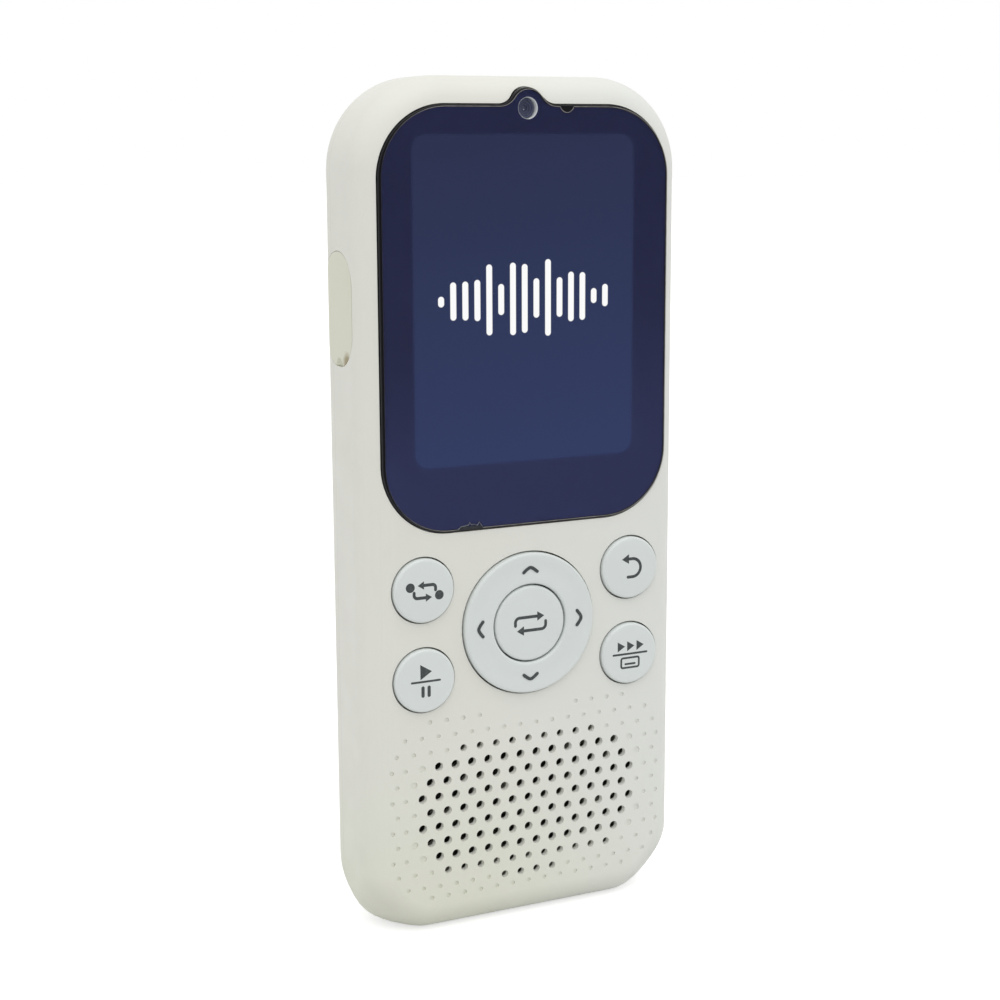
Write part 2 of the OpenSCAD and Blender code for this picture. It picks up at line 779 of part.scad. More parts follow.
module main_board() {
    color(board_green) difference() {
        slab(board_d, board_back) intersection() {
            body_outline(wall + board_gap);
            translate([-side_x, board_z0]) square([body_w, board_z1 - board_z0]);
        }
        slab(board_d - cut, board_back + cut) {
            jack_outline(socket_gap);
            translate([inner_x - rib_t - power_flange, power_z - power_len / 2 - rib_t - board_gap])
                square([2 * rib_t, power_len + 2 * (rib_t + board_gap)]);
        }
        for (sx = [-1, 1])
            bar(sx * screw_x, screw_low, board_d - cut, board_back + cut, boss_r + board_gap);
    }
}

module key_switch() {
    slab(switch_top + button_h, board_d) square(switch_w, center = true);
    bar(0, 0, switch_top, board_d, stem_r);
}

module key_switches() {
    color(steel) {
        at_keys() key_switch();
        translate([0, 0, keypad_z]) {
            key_switch();
            for (a = [0:90:270])
                translate([switch_reach * cos(a), 0, switch_reach * sin(a)]) key_switch();
        }
    }
}

module shield_can() {
    color(steel) slab(board_d - can_t, board_d)
        translate([0, can_z]) rounded(can_w, can_h, rib_t);
}

module memory_chips() {
    color([0.08, 0.08, 0.09]) for (i = [0, 1])
        slab(board_d - chip_t, board_d)
            translate([chip_x + i * (chip_w + rib_t), can_z + can_h / 2 + chip_w])
                square(chip_w, center = true);
}

module speaker_mesh() {
    color([0.06, 0.06, 0.06]) slab(wall, mesh_end)
        translate([0, speaker_z]) racetrack(speaker_w, speaker_h);
}

module speaker_gasket() {
    color(soft_grey) slab(mesh_end, gasket_end) translate([0, speaker_z]) difference() {
        racetrack(speaker_w, speaker_h);
        racetrack(speaker_w - 2 * speaker_wall, speaker_h - 2 * speaker_wall);
    }
}

module speaker_frame() {
    color([0.12, 0.12, 0.13]) difference() {
        slab(gasket_end, speaker_end) translate([0, speaker_z]) racetrack(speaker_w, speaker_h);
        slab(gasket_end - cut, speaker_end - speaker_wall) translate([0, speaker_z])
            racetrack(speaker_w - 2 * speaker_wall, speaker_h - 2 * speaker_wall);
    }
}

// Cone with a raised cap and a voice coil behind it
module speaker_cone() {
    rim = speaker_wall + lens_gap;
    color([0.2, 0.2, 0.2]) {
        slab(gasket_end + speaker_wall, gasket_end + speaker_wall + cone_t) translate([0, speaker_z])
            racetrack(speaker_w - 2 * rim, speaker_h - 2 * rim);
        bar(0, speaker_z, gasket_end + speaker_wall, speaker_end - speaker_wall, magnet_r / 2);
        bar(0, speaker_z, gasket_end + speaker_wall / 2, gasket_end + speaker_wall + cone_t, magnet_r / 2);
    }
}

module speaker_magnet() {
    color(steel) bar(0, speaker_z, speaker_end, speaker_end + magnet_t, magnet_r);
}

module battery_cell() {
    color([0.75, 0.76, 0.78]) slab(battery_d, battery_end)
        translate([0, battery_z]) rounded(battery_w, battery_h, rib_t);
}

module battery_pad() {
    color(soft_grey) slab(battery_end, body_t - wall)
        translate([0, battery_z])
            square([battery_w - 2 * foam_w, battery_h - 2 * foam_w], center = true);
}

module usb_port() {
    color(steel) difference() {
        side_slab(socket_x, socket_x + usb_len) translate([usb_d, cover_z]) racetrack(usb_h, usb_w);
        side_slab(socket_x - cut, socket_x + usb_len - usb_wall) translate([usb_d, cover_z])
            racetrack(usb_h - 2 * usb_wall, usb_w - 2 * usb_wall);
    }
}

// Contact tongue in the charging socket
module usb_tongue() {
    color([0.08, 0.08, 0.08]) side_slab(socket_x + tongue_back, socket_x + usb_len - usb_wall)
        translate([usb_d, cover_z]) square([tongue_t, tongue_w], center = true);
}

module card_slot() {
    color(steel) difference() {
        side_slab(socket_x + wall - recess_d + bite, socket_x + card_len)
            translate([card_d, cover_z]) square([card_h, card_w], center = true);
        side_slab(socket_x - cut, socket_x + card_len - usb_wall)
            translate([card_d, cover_z]) square([card_mouth, card_mouth_w], center = true);
    }
}

module headphone_jack() {
    color([0.09, 0.09, 0.1]) difference() {
        union() {
            translate([jack_x - jack_w / 2, front_y + jack_d - jack_collar_r, jack_base - rib_t])
                cube([jack_w, 2 * jack_collar_r, jack_len + rib_t - wall - socket_gap]);
            translate([jack_x, front_y + jack_d, jack_base])
                cylinder(h = jack_len, r = jack_collar_r);
        }
        translate([jack_x, front_y + jack_d, jack_base]) cylinder(h = jack_len + cut, r = jack_r);
    }
}

module microphone() {
    color(steel) translate([mic_x, front_y + jack_d, wall]) cylinder(h = mic_h, r = mic_r);
}

module power_switch() {
    color(steel) {
        side_slab(power_switch_x - power_switch_w, power_switch_x)
            translate([board_back + power_w / 2, power_z]) square([power_w, switch_w], center = true);
    }
}

// Section of a round key, as radius and depth: a cap with a rounded rim, a flange and a foot
module key_section(r, flange_from, foot_end) {
    difference() {
        translate([0, -key_proud]) square([r, flange_from + key_proud]);
        translate([r - rim_r, rim_r - key_proud]) difference() {
            translate([0, -rim_r - cut]) square(rim_r + cut);
            circle(rim_r);
        }
    }
    translate([0, flange_from]) square([r + flange_w, flange_t]);
    translate([0, flange_from]) square([stem_r, foot_end - flange_from]);
}

module ab_key() {
    color(key_white) turned(-key_x, key_top_z) key_section(key_r, flange_d, stem_end);
}

module play_key() {
    color(key_white) turned(-key_x, key_low_z) key_section(key_r, flange_d, stem_end);
}

module return_key() {
    color(key_white) turned(key_x, key_top_z) key_section(key_r, flange_d, stem_end);
}

module subtitle_key() {
    color(key_white) turned(key_x, key_low_z) key_section(key_r, flange_d, stem_end);
}

// The centre key's flange lies under the ring, which rocks above it
module centre_key() {
    color(key_white) turned(0, keypad_z) key_section(centre_r, pad_d, stem_end);
}

// Four-way ring: both rims rounded, with a flange under the front wall
module dpad_ring() {
    inside = centre_r + key_gap;
    color(key_white) turned(0, keypad_z) {
        difference() {
            translate([inside, -key_proud]) square([ring_r - inside, ring_end + key_proud]);
            translate([ring_r - rim_r, rim_r - key_proud]) difference() {
                translate([0, -rim_r - cut]) square(rim_r + cut);
                circle(rim_r);
            }
            translate([inside + rim_r, rim_r - key_proud]) difference() {
                translate([-rim_r - cut, -rim_r - cut]) square(rim_r + cut);
                circle(rim_r);
            }
        }
        translate([ring_r - rim_r, ring_flange_d]) square([rim_r + flange_w, ring_flange_t]);
    }
}

// Soft pad between the ring and its four switches
module dpad_pad() {
    inside = centre_r + flange_w + key_gap;
    color(soft_grey) {
        turned(0, keypad_z) translate([inside, pad_d]) square([ring_r - inside, pad_t]);
        for (a = [0:90:270])
            bar(switch_reach * cos(a), keypad_z + switch_reach * sin(a), pad_d, stem_end, stem_r);
    }
}

module power_key() {
    flange_x = inner_x - flange_gap;
    color(ivory) {
        side_slab(flange_x - bite, side_x) translate([power_d, power_z]) racetrack(power_w, power_len);
        side_slab(flange_x - power_flange, flange_x) translate([power_d, power_z])
            racetrack(power_w + flange_w, power_len + 2 * flange_w);
        side_slab(power_switch_x + press_gap + key_travel, flange_x) translate([power_d, power_z])
            square([power_w / 2, power_w], center = true);
    }
}

// Soft cover that follows the body's side, thin at its bending line, with a plug for the socket
module port_cover() {
    color(cover_cream) {
        difference() {
            intersection() {
                pillow(0);
                side_slab(-side_x - cut, -side_x / 2) cover_outline(0);
            }
            pillow(cover_t);
            intersection() {
                pillow(cover_hinge_t);
                side_slab(-side_x, -side_x / 2)
                    translate([cover_d - cover_w, hinge_z - cover_hinge_in])
                        square([2 * cover_w, cover_len]);
            }
            translate([-side_x - scoop_r / 2, front_y + cover_d, cover_z - cover_len / 2]) sphere(scoop_r);
        }
        side_slab(-side_x + cover_t - bite, socket_x + plug_len) translate([usb_d, cover_z])
            racetrack(usb_h - 2 * usb_wall - 4 * cover_gap, usb_w - 2 * usb_wall - 4 * cover_gap);
    }
}

front_housing();
rear_housing();
housing_screws();
screen_glass();
screen_film();
screen_adhesive();
lcd_panel();
lcd_backlight();
lcd_foam();
lcd_flex();
flex_connector();
camera_module();
camera_lens();
camera_gasket();
main_board();
key_switches();
shield_can();
memory_chips();
speaker_mesh();
speaker_gasket();
speaker_frame();
speaker_cone();
speaker_magnet();
battery_cell();
battery_pad();
usb_port();
usb_tongue();
card_slot();
headphone_jack();
microphone();
power_switch();
ab_key();
play_key();
return_key();
subtitle_key();
centre_key();
dpad_pad();
dpad_ring();
power_key();
port_cover();
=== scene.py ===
import json
import math

import bmesh
import bpy
import numpy as np
from mathutils.geometry import tessellate_polygon
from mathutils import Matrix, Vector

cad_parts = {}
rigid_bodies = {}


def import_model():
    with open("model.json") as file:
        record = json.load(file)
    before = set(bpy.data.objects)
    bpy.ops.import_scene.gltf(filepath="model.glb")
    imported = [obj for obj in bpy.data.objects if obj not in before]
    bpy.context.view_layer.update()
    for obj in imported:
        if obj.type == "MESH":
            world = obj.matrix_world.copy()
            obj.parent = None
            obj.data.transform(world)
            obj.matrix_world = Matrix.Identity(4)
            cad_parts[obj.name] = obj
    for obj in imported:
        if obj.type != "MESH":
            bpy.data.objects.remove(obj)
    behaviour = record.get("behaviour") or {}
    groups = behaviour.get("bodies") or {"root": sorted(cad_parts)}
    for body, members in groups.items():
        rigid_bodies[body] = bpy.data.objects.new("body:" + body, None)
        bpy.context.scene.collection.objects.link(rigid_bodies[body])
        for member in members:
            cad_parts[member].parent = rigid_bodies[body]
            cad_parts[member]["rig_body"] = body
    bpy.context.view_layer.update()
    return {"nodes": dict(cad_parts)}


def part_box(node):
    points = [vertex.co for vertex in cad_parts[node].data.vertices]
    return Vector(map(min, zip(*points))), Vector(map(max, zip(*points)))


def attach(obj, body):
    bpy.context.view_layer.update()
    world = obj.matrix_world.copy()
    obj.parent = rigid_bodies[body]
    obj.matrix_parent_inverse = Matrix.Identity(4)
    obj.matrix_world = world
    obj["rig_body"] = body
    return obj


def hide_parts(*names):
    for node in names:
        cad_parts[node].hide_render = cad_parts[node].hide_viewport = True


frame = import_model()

mm = 0.001
nodes = frame["nodes"]


def boxOf(node):
    # lowest and highest corner of a node, in millimetres
    low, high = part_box(node)
    return np.array(low) / mm, np.array(high) / mm


def linear(red, green, blue):
    # screen colour 0 to 255 to the linear colour that shaders take
    value = np.array([red, green, blue]) / 255
    value = np.where(value <= 0.04045, value / 12.92, ((value + 0.055) / 1.055) ** 2.4)
    return (*value.tolist(), 1.0)


# camera, at the place worked out from the photograph
shot = {
    "lens": 67.765,
    "sensor": 36.0,
    "place": (-0.126844, -0.259233, 0.119745),
    "turnDegrees": (79.39, 0.259, -25.949),
}


def setCamera():
    data = bpy.data.cameras.new("shotCamera")
    data.lens = shot["lens"]
    data.sensor_width = shot["sensor"]
    data.clip_start = 0.01
    camera = bpy.data.objects.new("shotCamera", data)
    camera.location = shot["place"]
    camera.rotation_euler = [math.radians(a) for a in shot["turnDegrees"]]
    bpy.context.scene.collection.objects.link(camera)
    bpy.context.scene.camera = camera


setCamera()
print("camera set")


# small helpers for node materials
def addNode(tree, kind, values=None, **settings):
    node = tree.nodes.new(kind)
    for key, value in settings.items():
        setattr(node, key, value)
    for key, value in (values or {}).items():
        if isinstance(value, bpy.types.NodeSocket):
            tree.links.new(value, node.inputs[key])
        else:
            node.inputs[key].default_value = value
    return node


def calc(tree, operation, *terms):
    return addNode(tree, "ShaderNodeMath", dict(enumerate(terms)), operation=operation).outputs[0]


def blendColours(tree, share, first, second, mode="MIX"):
    values = {0: share, 6: first, 7: second}
    return addNode(tree, "ShaderNodeMix", values, data_type="RGBA", blend_type=mode).outputs[2]


def remap(tree, value, low, high, toLow=0.0, toHigh=1.0, smooth=False):
    kind = "SMOOTHSTEP" if smooth else "LINEAR"
    values = {"Value": value, "From Min": low, "From Max": high, "To Min": toLow, "To Max": toHigh}
    return addNode(tree, "ShaderNodeMapRange", values, interpolation_type=kind).outputs[0]


def startFinish(name, roughness, metallic=0.0):
    material = bpy.data.materials.new(name)
    material.use_nodes = True
    tree = material.node_tree
    shader = tree.nodes["Principled BSDF"]
    shader.inputs["Roughness"].default_value = roughness
    shader.inputs["Metallic"].default_value = metallic
    place = addNode(tree, "ShaderNodeTexCoord").outputs["Object"]
    return material, tree, shader, place


def noise(tree, place, perMetre, detail=2.0, stretch=(1, 1, 1)):
    turned = addNode(tree, "ShaderNodeMapping", {"Vector": place, "Scale": stretch})
    values = {"Vector": turned.outputs[0], "Scale": perMetre, "Detail": detail}
    return addNode(tree, "ShaderNodeTexNoise", values).outputs["Fac"]


def bumpFrom(tree, shader, height, depth):
    # depth is the real height of the relief in metres
    node = addNode(tree, "ShaderNodeBump", {"Height": height, "Strength": 1.0, "Distance": depth})
    tree.links.new(node.outputs[0], shader.inputs["Normal"])


def paint(tree, shader, share, first, second):
    # base colour that runs between two screen colours
    tone = blendColours(tree, share, linear(*first), linear(*second))
    tree.links.new(tone, shader.inputs["Base Color"])


def lengthOf(tree, across, along):
    # root of the sum of two squares
    return calc(tree, "SQRT", calc(tree, "MULTIPLY_ADD", across, across, calc(tree, "POWER", along, 2.0)))


# moulded plastics: a slow drift between two tones, a fine mould grain and uneven gloss
housingLook = {
    "pale": (226, 226, 219),
    "deep": (222, 222, 213),
    # painted shade: the foot tone darkens and yellows the housing towards its bottom
    "foot": (219, 221, 204),
    "footShadeHigh": 36.0,
    "footShadeShare": 0.8,
    # painted light: a paler, cooler tone towards the right, where more light falls
    "litRight": (224, 226, 222),
    "litRightFrom": -12.0,
    "litRightTo": 26.0,
    "litRightShare": 0.7,
    "driftPerMetre": 45,
    "grainPerMetre": 5200,
    "grainDepth": 0.000012,
    "roughness": 0.52,
    "glossSpread": 0.08,
    "seam": (168, 166, 152),
    "seamY": 3.6,
    "seamHalf": 0.07,
    "seamShare": 0.4,
    # painted shade deep in the sound holes, hole walls painted paler as painted light, and paler dust
    "holeShade": (44, 46, 38),
    "holeDust": (150, 150, 140),
    "holeWall": (250, 250, 244),
    "wallLightY": (-7.58, -7.45),
    "dustPerMetre": 330,
    "dustFrom": 0.56,
    "dustTo": 0.68,
    "dustShare": 0.8,
    "dustSmallRows": 0.12,
    "holeX": 19.2,
    "holeZ": (6.8, 33.0),
    "holeShadeY": (-6.95, -6.75),
    "holeEnd": -5.5,
    "fullRows": (11.2, 28.1),
}
keyLook = {
    "pale": (219, 225, 223),
    "deep": (215, 220, 218),
    "driftPerMetre": 160,
    "grainPerMetre": 6500,
    "grainDepth": 0.000006,
    "roughness": 0.42,
    "glossSpread": 0.06,
}


def seamAndHoles(tree, place, tone, look):
    # ivory painted darker and yellower towards the foot as painted shade, painted paler and cooler to the
    # right as painted light, and a faint line where the shells meet
    axes = addNode(tree, "ShaderNodeSeparateXYZ", {0: place}).outputs
    # painted shade: darker and yellower towards the foot
    share = remap(tree, axes["Z"], look["footShadeHigh"] * mm, 0.0, 0.0, look["footShadeShare"], True)
    tone = blendColours(tree, share, tone, linear(*look["foot"]))
    # painted light: paler and cooler towards the right
    share = remap(tree, axes["X"], look["litRightFrom"] * mm, look["litRightTo"] * mm, 0.0, look["litRightShare"], True)
    tone = blendColours(tree, share, tone, linear(*look["litRight"]))
    away = calc(tree, "ABSOLUTE", calc(tree, "SUBTRACT", axes["Y"], look["seamY"] * mm))
    share = remap(tree, away, look["seamHalf"] * mm, 0.0, 0.0, look["seamShare"], True)
    tone = blendColours(tree, share, tone, linear(*look["seam"]))
    # sound holes have walls painted paler than the ivory as painted light, and painted shade further in,
    # with dust in some and in the rows of small ones
    wall = remap(tree, axes["Y"], look["wallLightY"][0] * mm, look["wallLightY"][1] * mm)
    deep = remap(tree, axes["Y"], look["holeShadeY"][0] * mm, look["holeShadeY"][1] * mm, 0.0, 1.0, True)
    inside = calc(tree, "LESS_THAN", calc(tree, "ABSOLUTE", axes["X"]), look["holeX"] * mm)
    low = calc(tree, "GREATER_THAN", axes["Z"], look["holeZ"][0] * mm)
    high = calc(tree, "LESS_THAN", axes["Z"], look["holeZ"][1] * mm)
    inside = calc(tree, "MULTIPLY", inside, calc(tree, "MULTIPLY", low, high))
    inside = calc(tree, "MULTIPLY", inside, calc(tree, "LESS_THAN", axes["Y"], look["holeEnd"] * mm))
    middle, half = sum(look["fullRows"]) / 2, (look["fullRows"][1] - look["fullRows"][0]) / 2
    smallRow = calc(tree, "ABSOLUTE", calc(tree, "SUBTRACT", axes["Z"], middle * mm))
    smallRow = remap(tree, smallRow, half * mm, (half + 0.1) * mm, 0.0, look["dustSmallRows"])
    patch = calc(tree, "ADD", noise(tree, place, look["dustPerMetre"], 1.0), smallRow)
    dust = remap(tree, patch, look["dustFrom"], look["dustTo"], 0.0, look["dustShare"], True)
    dark = blendColours(tree, dust, linear(*look["holeShade"]), linear(*look["holeDust"]))
    tone = blendColours(tree, calc(tree, "MULTIPLY", wall, inside), tone, linear(*look["holeWall"]))
    return blendColours(tree, calc(tree, "MULTIPLY", deep, inside), tone, dark)


def mouldedPlastic(name, look):
    material, tree, shader, place = startFinish(name, look["roughness"])
    drift = noise(tree, place, look["driftPerMetre"], 3.0)
    tone = blendColours(tree, drift, linear(*look["pale"]), linear(*look["deep"]))
    if "seam" in look:
        tone = seamAndHoles(tree, place, tone, look)
    tree.links.new(tone, shader.inputs["Base Color"])
    low, high = look["roughness"] - look["glossSpread"], look["roughness"] + look["glossSpread"]
    gloss = remap(tree, noise(tree, place, look["driftPerMetre"] * 6, 4.0), 0.3, 0.7, low, high)
    tree.links.new(gloss, shader.inputs["Roughness"])
    bumpFrom(tree, shader, noise(tree, place, look["grainPerMetre"], 2.0), look["grainDepth"])
    return material


# soft port cover: creamy silicone, with a brown stain where nails have pulled at its scoop
coverLook = {
    "pale": (221, 221, 205),
    "deep": (215, 216, 197),
    "stain": (130, 112, 56),
    "stainPlace": (-26.6, -2.0, 88.7),
    "stainReach": 2.3,
    "stainCore": 0.4,
    "stainRagged": 0.6,
    "stainPerMetre": 1500,
    "stainShare": 0.8,
    "driftPerMetre": 120,
    "grainPerMetre": 3800,
    "grainDepth": 0.000015,
    "roughness": 0.6,
    "sheen": 0.1,
}


def softSilicone(name, look):
    material, tree, shader, place = startFinish(name, look["roughness"])
    drift = noise(tree, place, look["driftPerMetre"], 3.0)
    tone = blendColours(tree, drift, linear(*look["pale"]), linear(*look["deep"]))
    spot = {0: place, 1: np.array(look["stainPlace"]) * mm}
    away = addNode(tree, "ShaderNodeVectorMath", spot, operation="DISTANCE").outputs["Value"]
    edge = noise(tree, place, look["stainPerMetre"], 3.0)
    ragged = calc(tree, "MULTIPLY_ADD", edge, look["stainRagged"] * mm, away)
    reach = look["stainReach"] * mm
    share = remap(tree, ragged, reach, reach * look["stainCore"], 0.0, look["stainShare"], True)
    tree.links.new(blendColours(tree, share, tone, linear(*look["stain"])), shader.inputs["Base Color"])
    shader.inputs["Sheen Weight"].default_value = look["sheen"]
    bumpFrom(tree, shader, noise(tree, place, look["grainPerMetre"], 2.0), look["grainDepth"])
    return material


# cover glass: ink border, lit display below it and a plain sound wave on the display; ink and glow both
# brighten towards the foot as a painted reflection
screenLook = {
    # top to foot tones of ink and glow: painted reflection, brighter towards the foot
    "inkTop": (40, 43, 73),
    "inkFoot": (50, 55, 90),
    "litTop": (45, 51, 80),
    "litFoot": (50, 61, 99),
    "wave": (255, 255, 255),
    "litShift": -0.4,
    "litHalf": 18.3,
    "litLow": 73.1,
    "litHigh": 121.7,
    "litCorner": 2.2,
    "litSoft": 0.35,
    "reflectionLean": -0.1,
    "inkReflectionReach": 1.1,
    "smudge": 0.05,
    "smudgePerMetre": 60,
    "waveZ": 97.6,
    "waveShift": -0.6,
    "barPitch": 1.95,
    "barRadius": 0.48,
    "barTallest": 5.6,
    "barShortest": 0.2,
    "barTurn": 1.93,
    "barStart": 0.9,
    "barEdge": 0.06,
    "waveReach": 14.6,
    "waveTaper": 1.06,
    "roughness": 0.07,
}


def roundedDistance(tree, x, z, half, corner):
    # signed distance to a rounded rectangle centred on x = 0, z = 0
    sides = ((x, half[0]), (z, half[1]))
    over = [calc(tree, "SUBTRACT", calc(tree, "ABSOLUTE", v), (h - corner) * mm) for v, h in sides]
    reach = lengthOf(tree, *(calc(tree, "MAXIMUM", v, 0.0) for v in over))
    inside = calc(tree, "MINIMUM", calc(tree, "MAXIMUM", over[0], over[1]), 0.0)
    return calc(tree, "SUBTRACT", calc(tree, "ADD", reach, inside), corner * mm)


def waveDistance(tree, x, z, look):
    # signed distance to upright round bars, whose heights swing with their number under a bell
    pitch = look["barPitch"] * mm
    number = calc(tree, "ROUND", calc(tree, "DIVIDE", x, pitch))
    place = calc(tree, "MULTIPLY", number, pitch)
    across = calc(tree, "SUBTRACT", x, place)
    swing = calc(tree, "SINE", calc(tree, "MULTIPLY_ADD", number, look["barTurn"], look["barStart"]))
    lean = calc(tree, "DIVIDE", place, look["waveReach"] * look["waveTaper"] * mm)
    bell = calc(tree, "SUBTRACT", 1.0, calc(tree, "POWER", lean, 2.0))
    short = look["barShortest"]
    tall = calc(tree, "MULTIPLY_ADD", calc(tree, "ABSOLUTE", swing), 1 - short, short)
    tall = calc(tree, "MULTIPLY", tall, bell)
    tall = calc(tree, "MAXIMUM", calc(tree, "MULTIPLY", tall, look["barTallest"] * mm), 0.0)
    above = calc(tree, "MAXIMUM", calc(tree, "SUBTRACT", calc(tree, "ABSOLUTE", z), tall), 0.0)
    return calc(tree, "SUBTRACT", lengthOf(tree, across, above), look["barRadius"] * mm)


def litScreen(name, look):
    material, tree, shader, place = startFinish(name, look["roughness"])
    axes = addNode(tree, "ShaderNodeSeparateXYZ", {0: place}).outputs
    middle = (look["litLow"] + look["litHigh"]) / 2
    half = (look["litHalf"], (look["litHigh"] - look["litLow"]) / 2)
    z = calc(tree, "SUBTRACT", axes["Z"], middle * mm)
    soft = look["litSoft"] * mm
    x = calc(tree, "SUBTRACT", axes["X"], look["litShift"] * mm)
    lit = remap(tree, roundedDistance(tree, x, z, half, look["litCorner"]), soft, -soft, 0.0, 1.0, True)
    # painted reflection: ink and glow grow brighter towards the foot
    lean = calc(tree, "MULTIPLY_ADD", axes["X"], look["reflectionLean"], z)
    litReflection = remap(tree, lean, half[1] * mm, -half[1] * mm)
    inkReflection = remap(tree, lean, 0.0, -half[1] * look["inkReflectionReach"] * mm, 0.0, 1.0, True)
    glow = blendColours(tree, litReflection, linear(*look["litTop"]), linear(*look["litFoot"]))
    waveX = calc(tree, "SUBTRACT", axes["X"], look["waveShift"] * mm)
    waveZ = calc(tree, "SUBTRACT", axes["Z"], look["waveZ"] * mm)
    edge = look["barEdge"] * mm
    bars = remap(tree, waveDistance(tree, waveX, waveZ, look), edge, -edge, 0.0, 1.0, True)
    inReach = calc(tree, "LESS_THAN", calc(tree, "ABSOLUTE", waveX), look["waveReach"] * mm)
    shown = blendColours(tree, calc(tree, "MULTIPLY", bars, inReach), glow, linear(*look["wave"]))
    dark = linear(0, 0, 0)
    smudge = noise(tree, place, look["smudgePerMetre"], 4.0)
    smudge = remap(tree, smudge, 0.3, 0.7, 1 - look["smudge"], 1 + look["smudge"])
    ink = blendColours(tree, inkReflection, linear(*look["inkTop"]), linear(*look["inkFoot"]))
    ink = blendColours(tree, 1.0, ink, smudge, "MULTIPLY")
    tree.links.new(blendColours(tree, lit, ink, dark), shader.inputs["Base Color"])
    tree.links.new(blendColours(tree, lit, dark, shown), shader.inputs["Emission Color"])
    shader.inputs["Emission Strength"].default_value = 1.0
    return material


# bare glass beside the film: black, with faint wiping marks
bareLook = {
    "black": (18, 18, 21),
    "wiped": (30, 30, 34),
    "marksPerMetre": 300,
    "marksStretch": (1, 1, 0.2),
    "roughness": 0.3,
    "specular": 0.25,
}


def bareGlass(name, look):
    material, tree, shader, place = startFinish(name, look["roughness"])
    shader.inputs["Specular IOR Level"].default_value = look["specular"]
    marks = noise(tree, place, look["marksPerMetre"], 3.0, look["marksStretch"])
    paint(tree, shader, marks, look["black"], look["wiped"])
    return material


# protective film: clear sheet with a faint smoke tint, and a rim painted pale as a painted highlight where
# light runs along it, with painted shade along its left edge
filmLook = {
    "clear": (16, 18, 24),
    "smoke": (26, 28, 36),
    "smokePerMetre": 40,
    "alpha": 0.02,
    # painted highlight on the film's rim, and painted shade along its left edge
    "rim": (164, 161, 156),
    "rimShade": (34, 35, 52),
    "rimShadeTo": 0.6,
    "rimLeast": 0.5,
    "rimPerMetre": 1200,
    "torn": ((176, 179, 182), (214, 216, 218)),
    "chip": ((40, 44, 50), (54, 58, 64)),
    "roughness": 0.06,
    "rimRoughness": 0.4,
}


def clearFilm(name, look):
    material, tree, shader, place = startFinish(name, look["roughness"])
    shader.inputs["Alpha"].default_value = look["alpha"]
    paint(tree, shader, noise(tree, place, look["smokePerMetre"], 2.0), look["clear"], look["smoke"])
    return material


def filmRim(name, look, sideX):
    # painted shade: dim along the left edge; painted highlight: pale from there on
    material, tree, shader, place = startFinish(name, look["rimRoughness"])
    x = addNode(tree, "ShaderNodeSeparateXYZ", {0: place}).outputs["X"]
    share = remap(tree, x, -sideX * mm, -sideX * look["rimShadeTo"] * mm)
    uneven = remap(tree, noise(tree, place, look["rimPerMetre"], 3.0), 0.3, 0.7, look["rimLeast"], 1.0)
    paint(tree, shader, calc(tree, "MULTIPLY", share, uneven), look["rimShade"], look["rim"])
    return material


# printed key signs: matt dark ink with faint wear
inkLook = {"dark": (64, 69, 70), "worn": (82, 88, 88), "wearPerMetre": 2600, "roughness": 0.55}


def printedInk(name, look):
    material, tree, shader, place = startFinish(name, look["roughness"])
    wear = remap(tree, noise(tree, place, look["wearPerMetre"], 4.0), 0.45, 0.75)
    paint(tree, shader, wear, look["dark"], look["worn"])
    return material


# metals: long fine scratches along one axis
metalLook = {"scratchPerMetre": 2500, "scratchDepth": 0.000004, "gloss": (0.8, 1.25)}


def brushedMetal(name, tones, roughness, stretch):
    material, tree, shader, place = startFinish(name, roughness, 1.0)
    scratch = noise(tree, place, metalLook["scratchPerMetre"], 5.0, stretch)
    paint(tree, shader, scratch, *tones)
    gloss = remap(tree, scratch, 0.3, 0.7, *(roughness * share for share in metalLook["gloss"]))
    tree.links.new(gloss, shader.inputs["Roughness"])
    bumpFrom(tree, shader, scratch, metalLook["scratchDepth"])
    return material


# matt rubbers, foams and black plastics: open cells or a dull grain
def dullGrain(name, tones, roughness, perMetre, depth):
    material, tree, shader, place = startFinish(name, roughness)
    grain = noise(tree, place, perMetre, 4.0)
    paint(tree, shader, remap(tree, grain, 0.35, 0.65), *tones)
    bumpFrom(tree, shader, grain, depth)
    return material


# circuit board: solder mask with paler copper runs below it
boardLook = {
    "run": (70, 140, 84),
    "mask": (20, 78, 48),
    "runsPerMetre": 700,
    "runEdge": (0.04, 0.1),
    "depth": 0.00002,
    "roughness": 0.35,
}


def circuitBoard(name, look):
    material, tree, shader, place = startFinish(name, look["roughness"])
    values = {"Vector": place, "Scale": look["runsPerMetre"]}
    cell = addNode(tree, "ShaderNodeTexVoronoi", values, feature="DISTANCE_TO_EDGE").outputs[0]
    runs = remap(tree, cell, *look["runEdge"])
    paint(tree, shader, runs, look["run"], look["mask"])
    bumpFrom(tree, shader, runs, look["depth"])
    return material


# dust mesh: two sets of fine threads that cross
meshLook = {
    "gap": (10, 10, 9),
    "thread": (38, 38, 34),
    "perMetre": 900,
    "depth": 0.00004,
    "roughness": 0.75,
}


def bands(tree, place, perMetre, axis):
    # stripes that rise and fall as a sine along one axis
    values = {"Vector": place, "Scale": perMetre}
    return addNode(tree, "ShaderNodeTexWave", values, bands_direction=axis).outputs["Fac"]


def wovenMesh(name, look):
    material, tree, shader, place = startFinish(name, look["roughness"])
    weave = calc(tree, "MULTIPLY", *(bands(tree, place, look["perMetre"], axis) for axis in "XZ"))
    paint(tree, shader, weave, look["gap"], look["thread"])
    bumpFrom(tree, shader, weave, look["depth"])
    return material


# ribbon: amber film over fine copper tracks
ribbonLook = {
    "film": (150, 92, 30),
    "track": (206, 146, 62),
    "perMetre": 400,
    "depth": 0.00001,
    "roughness": 0.3,
}


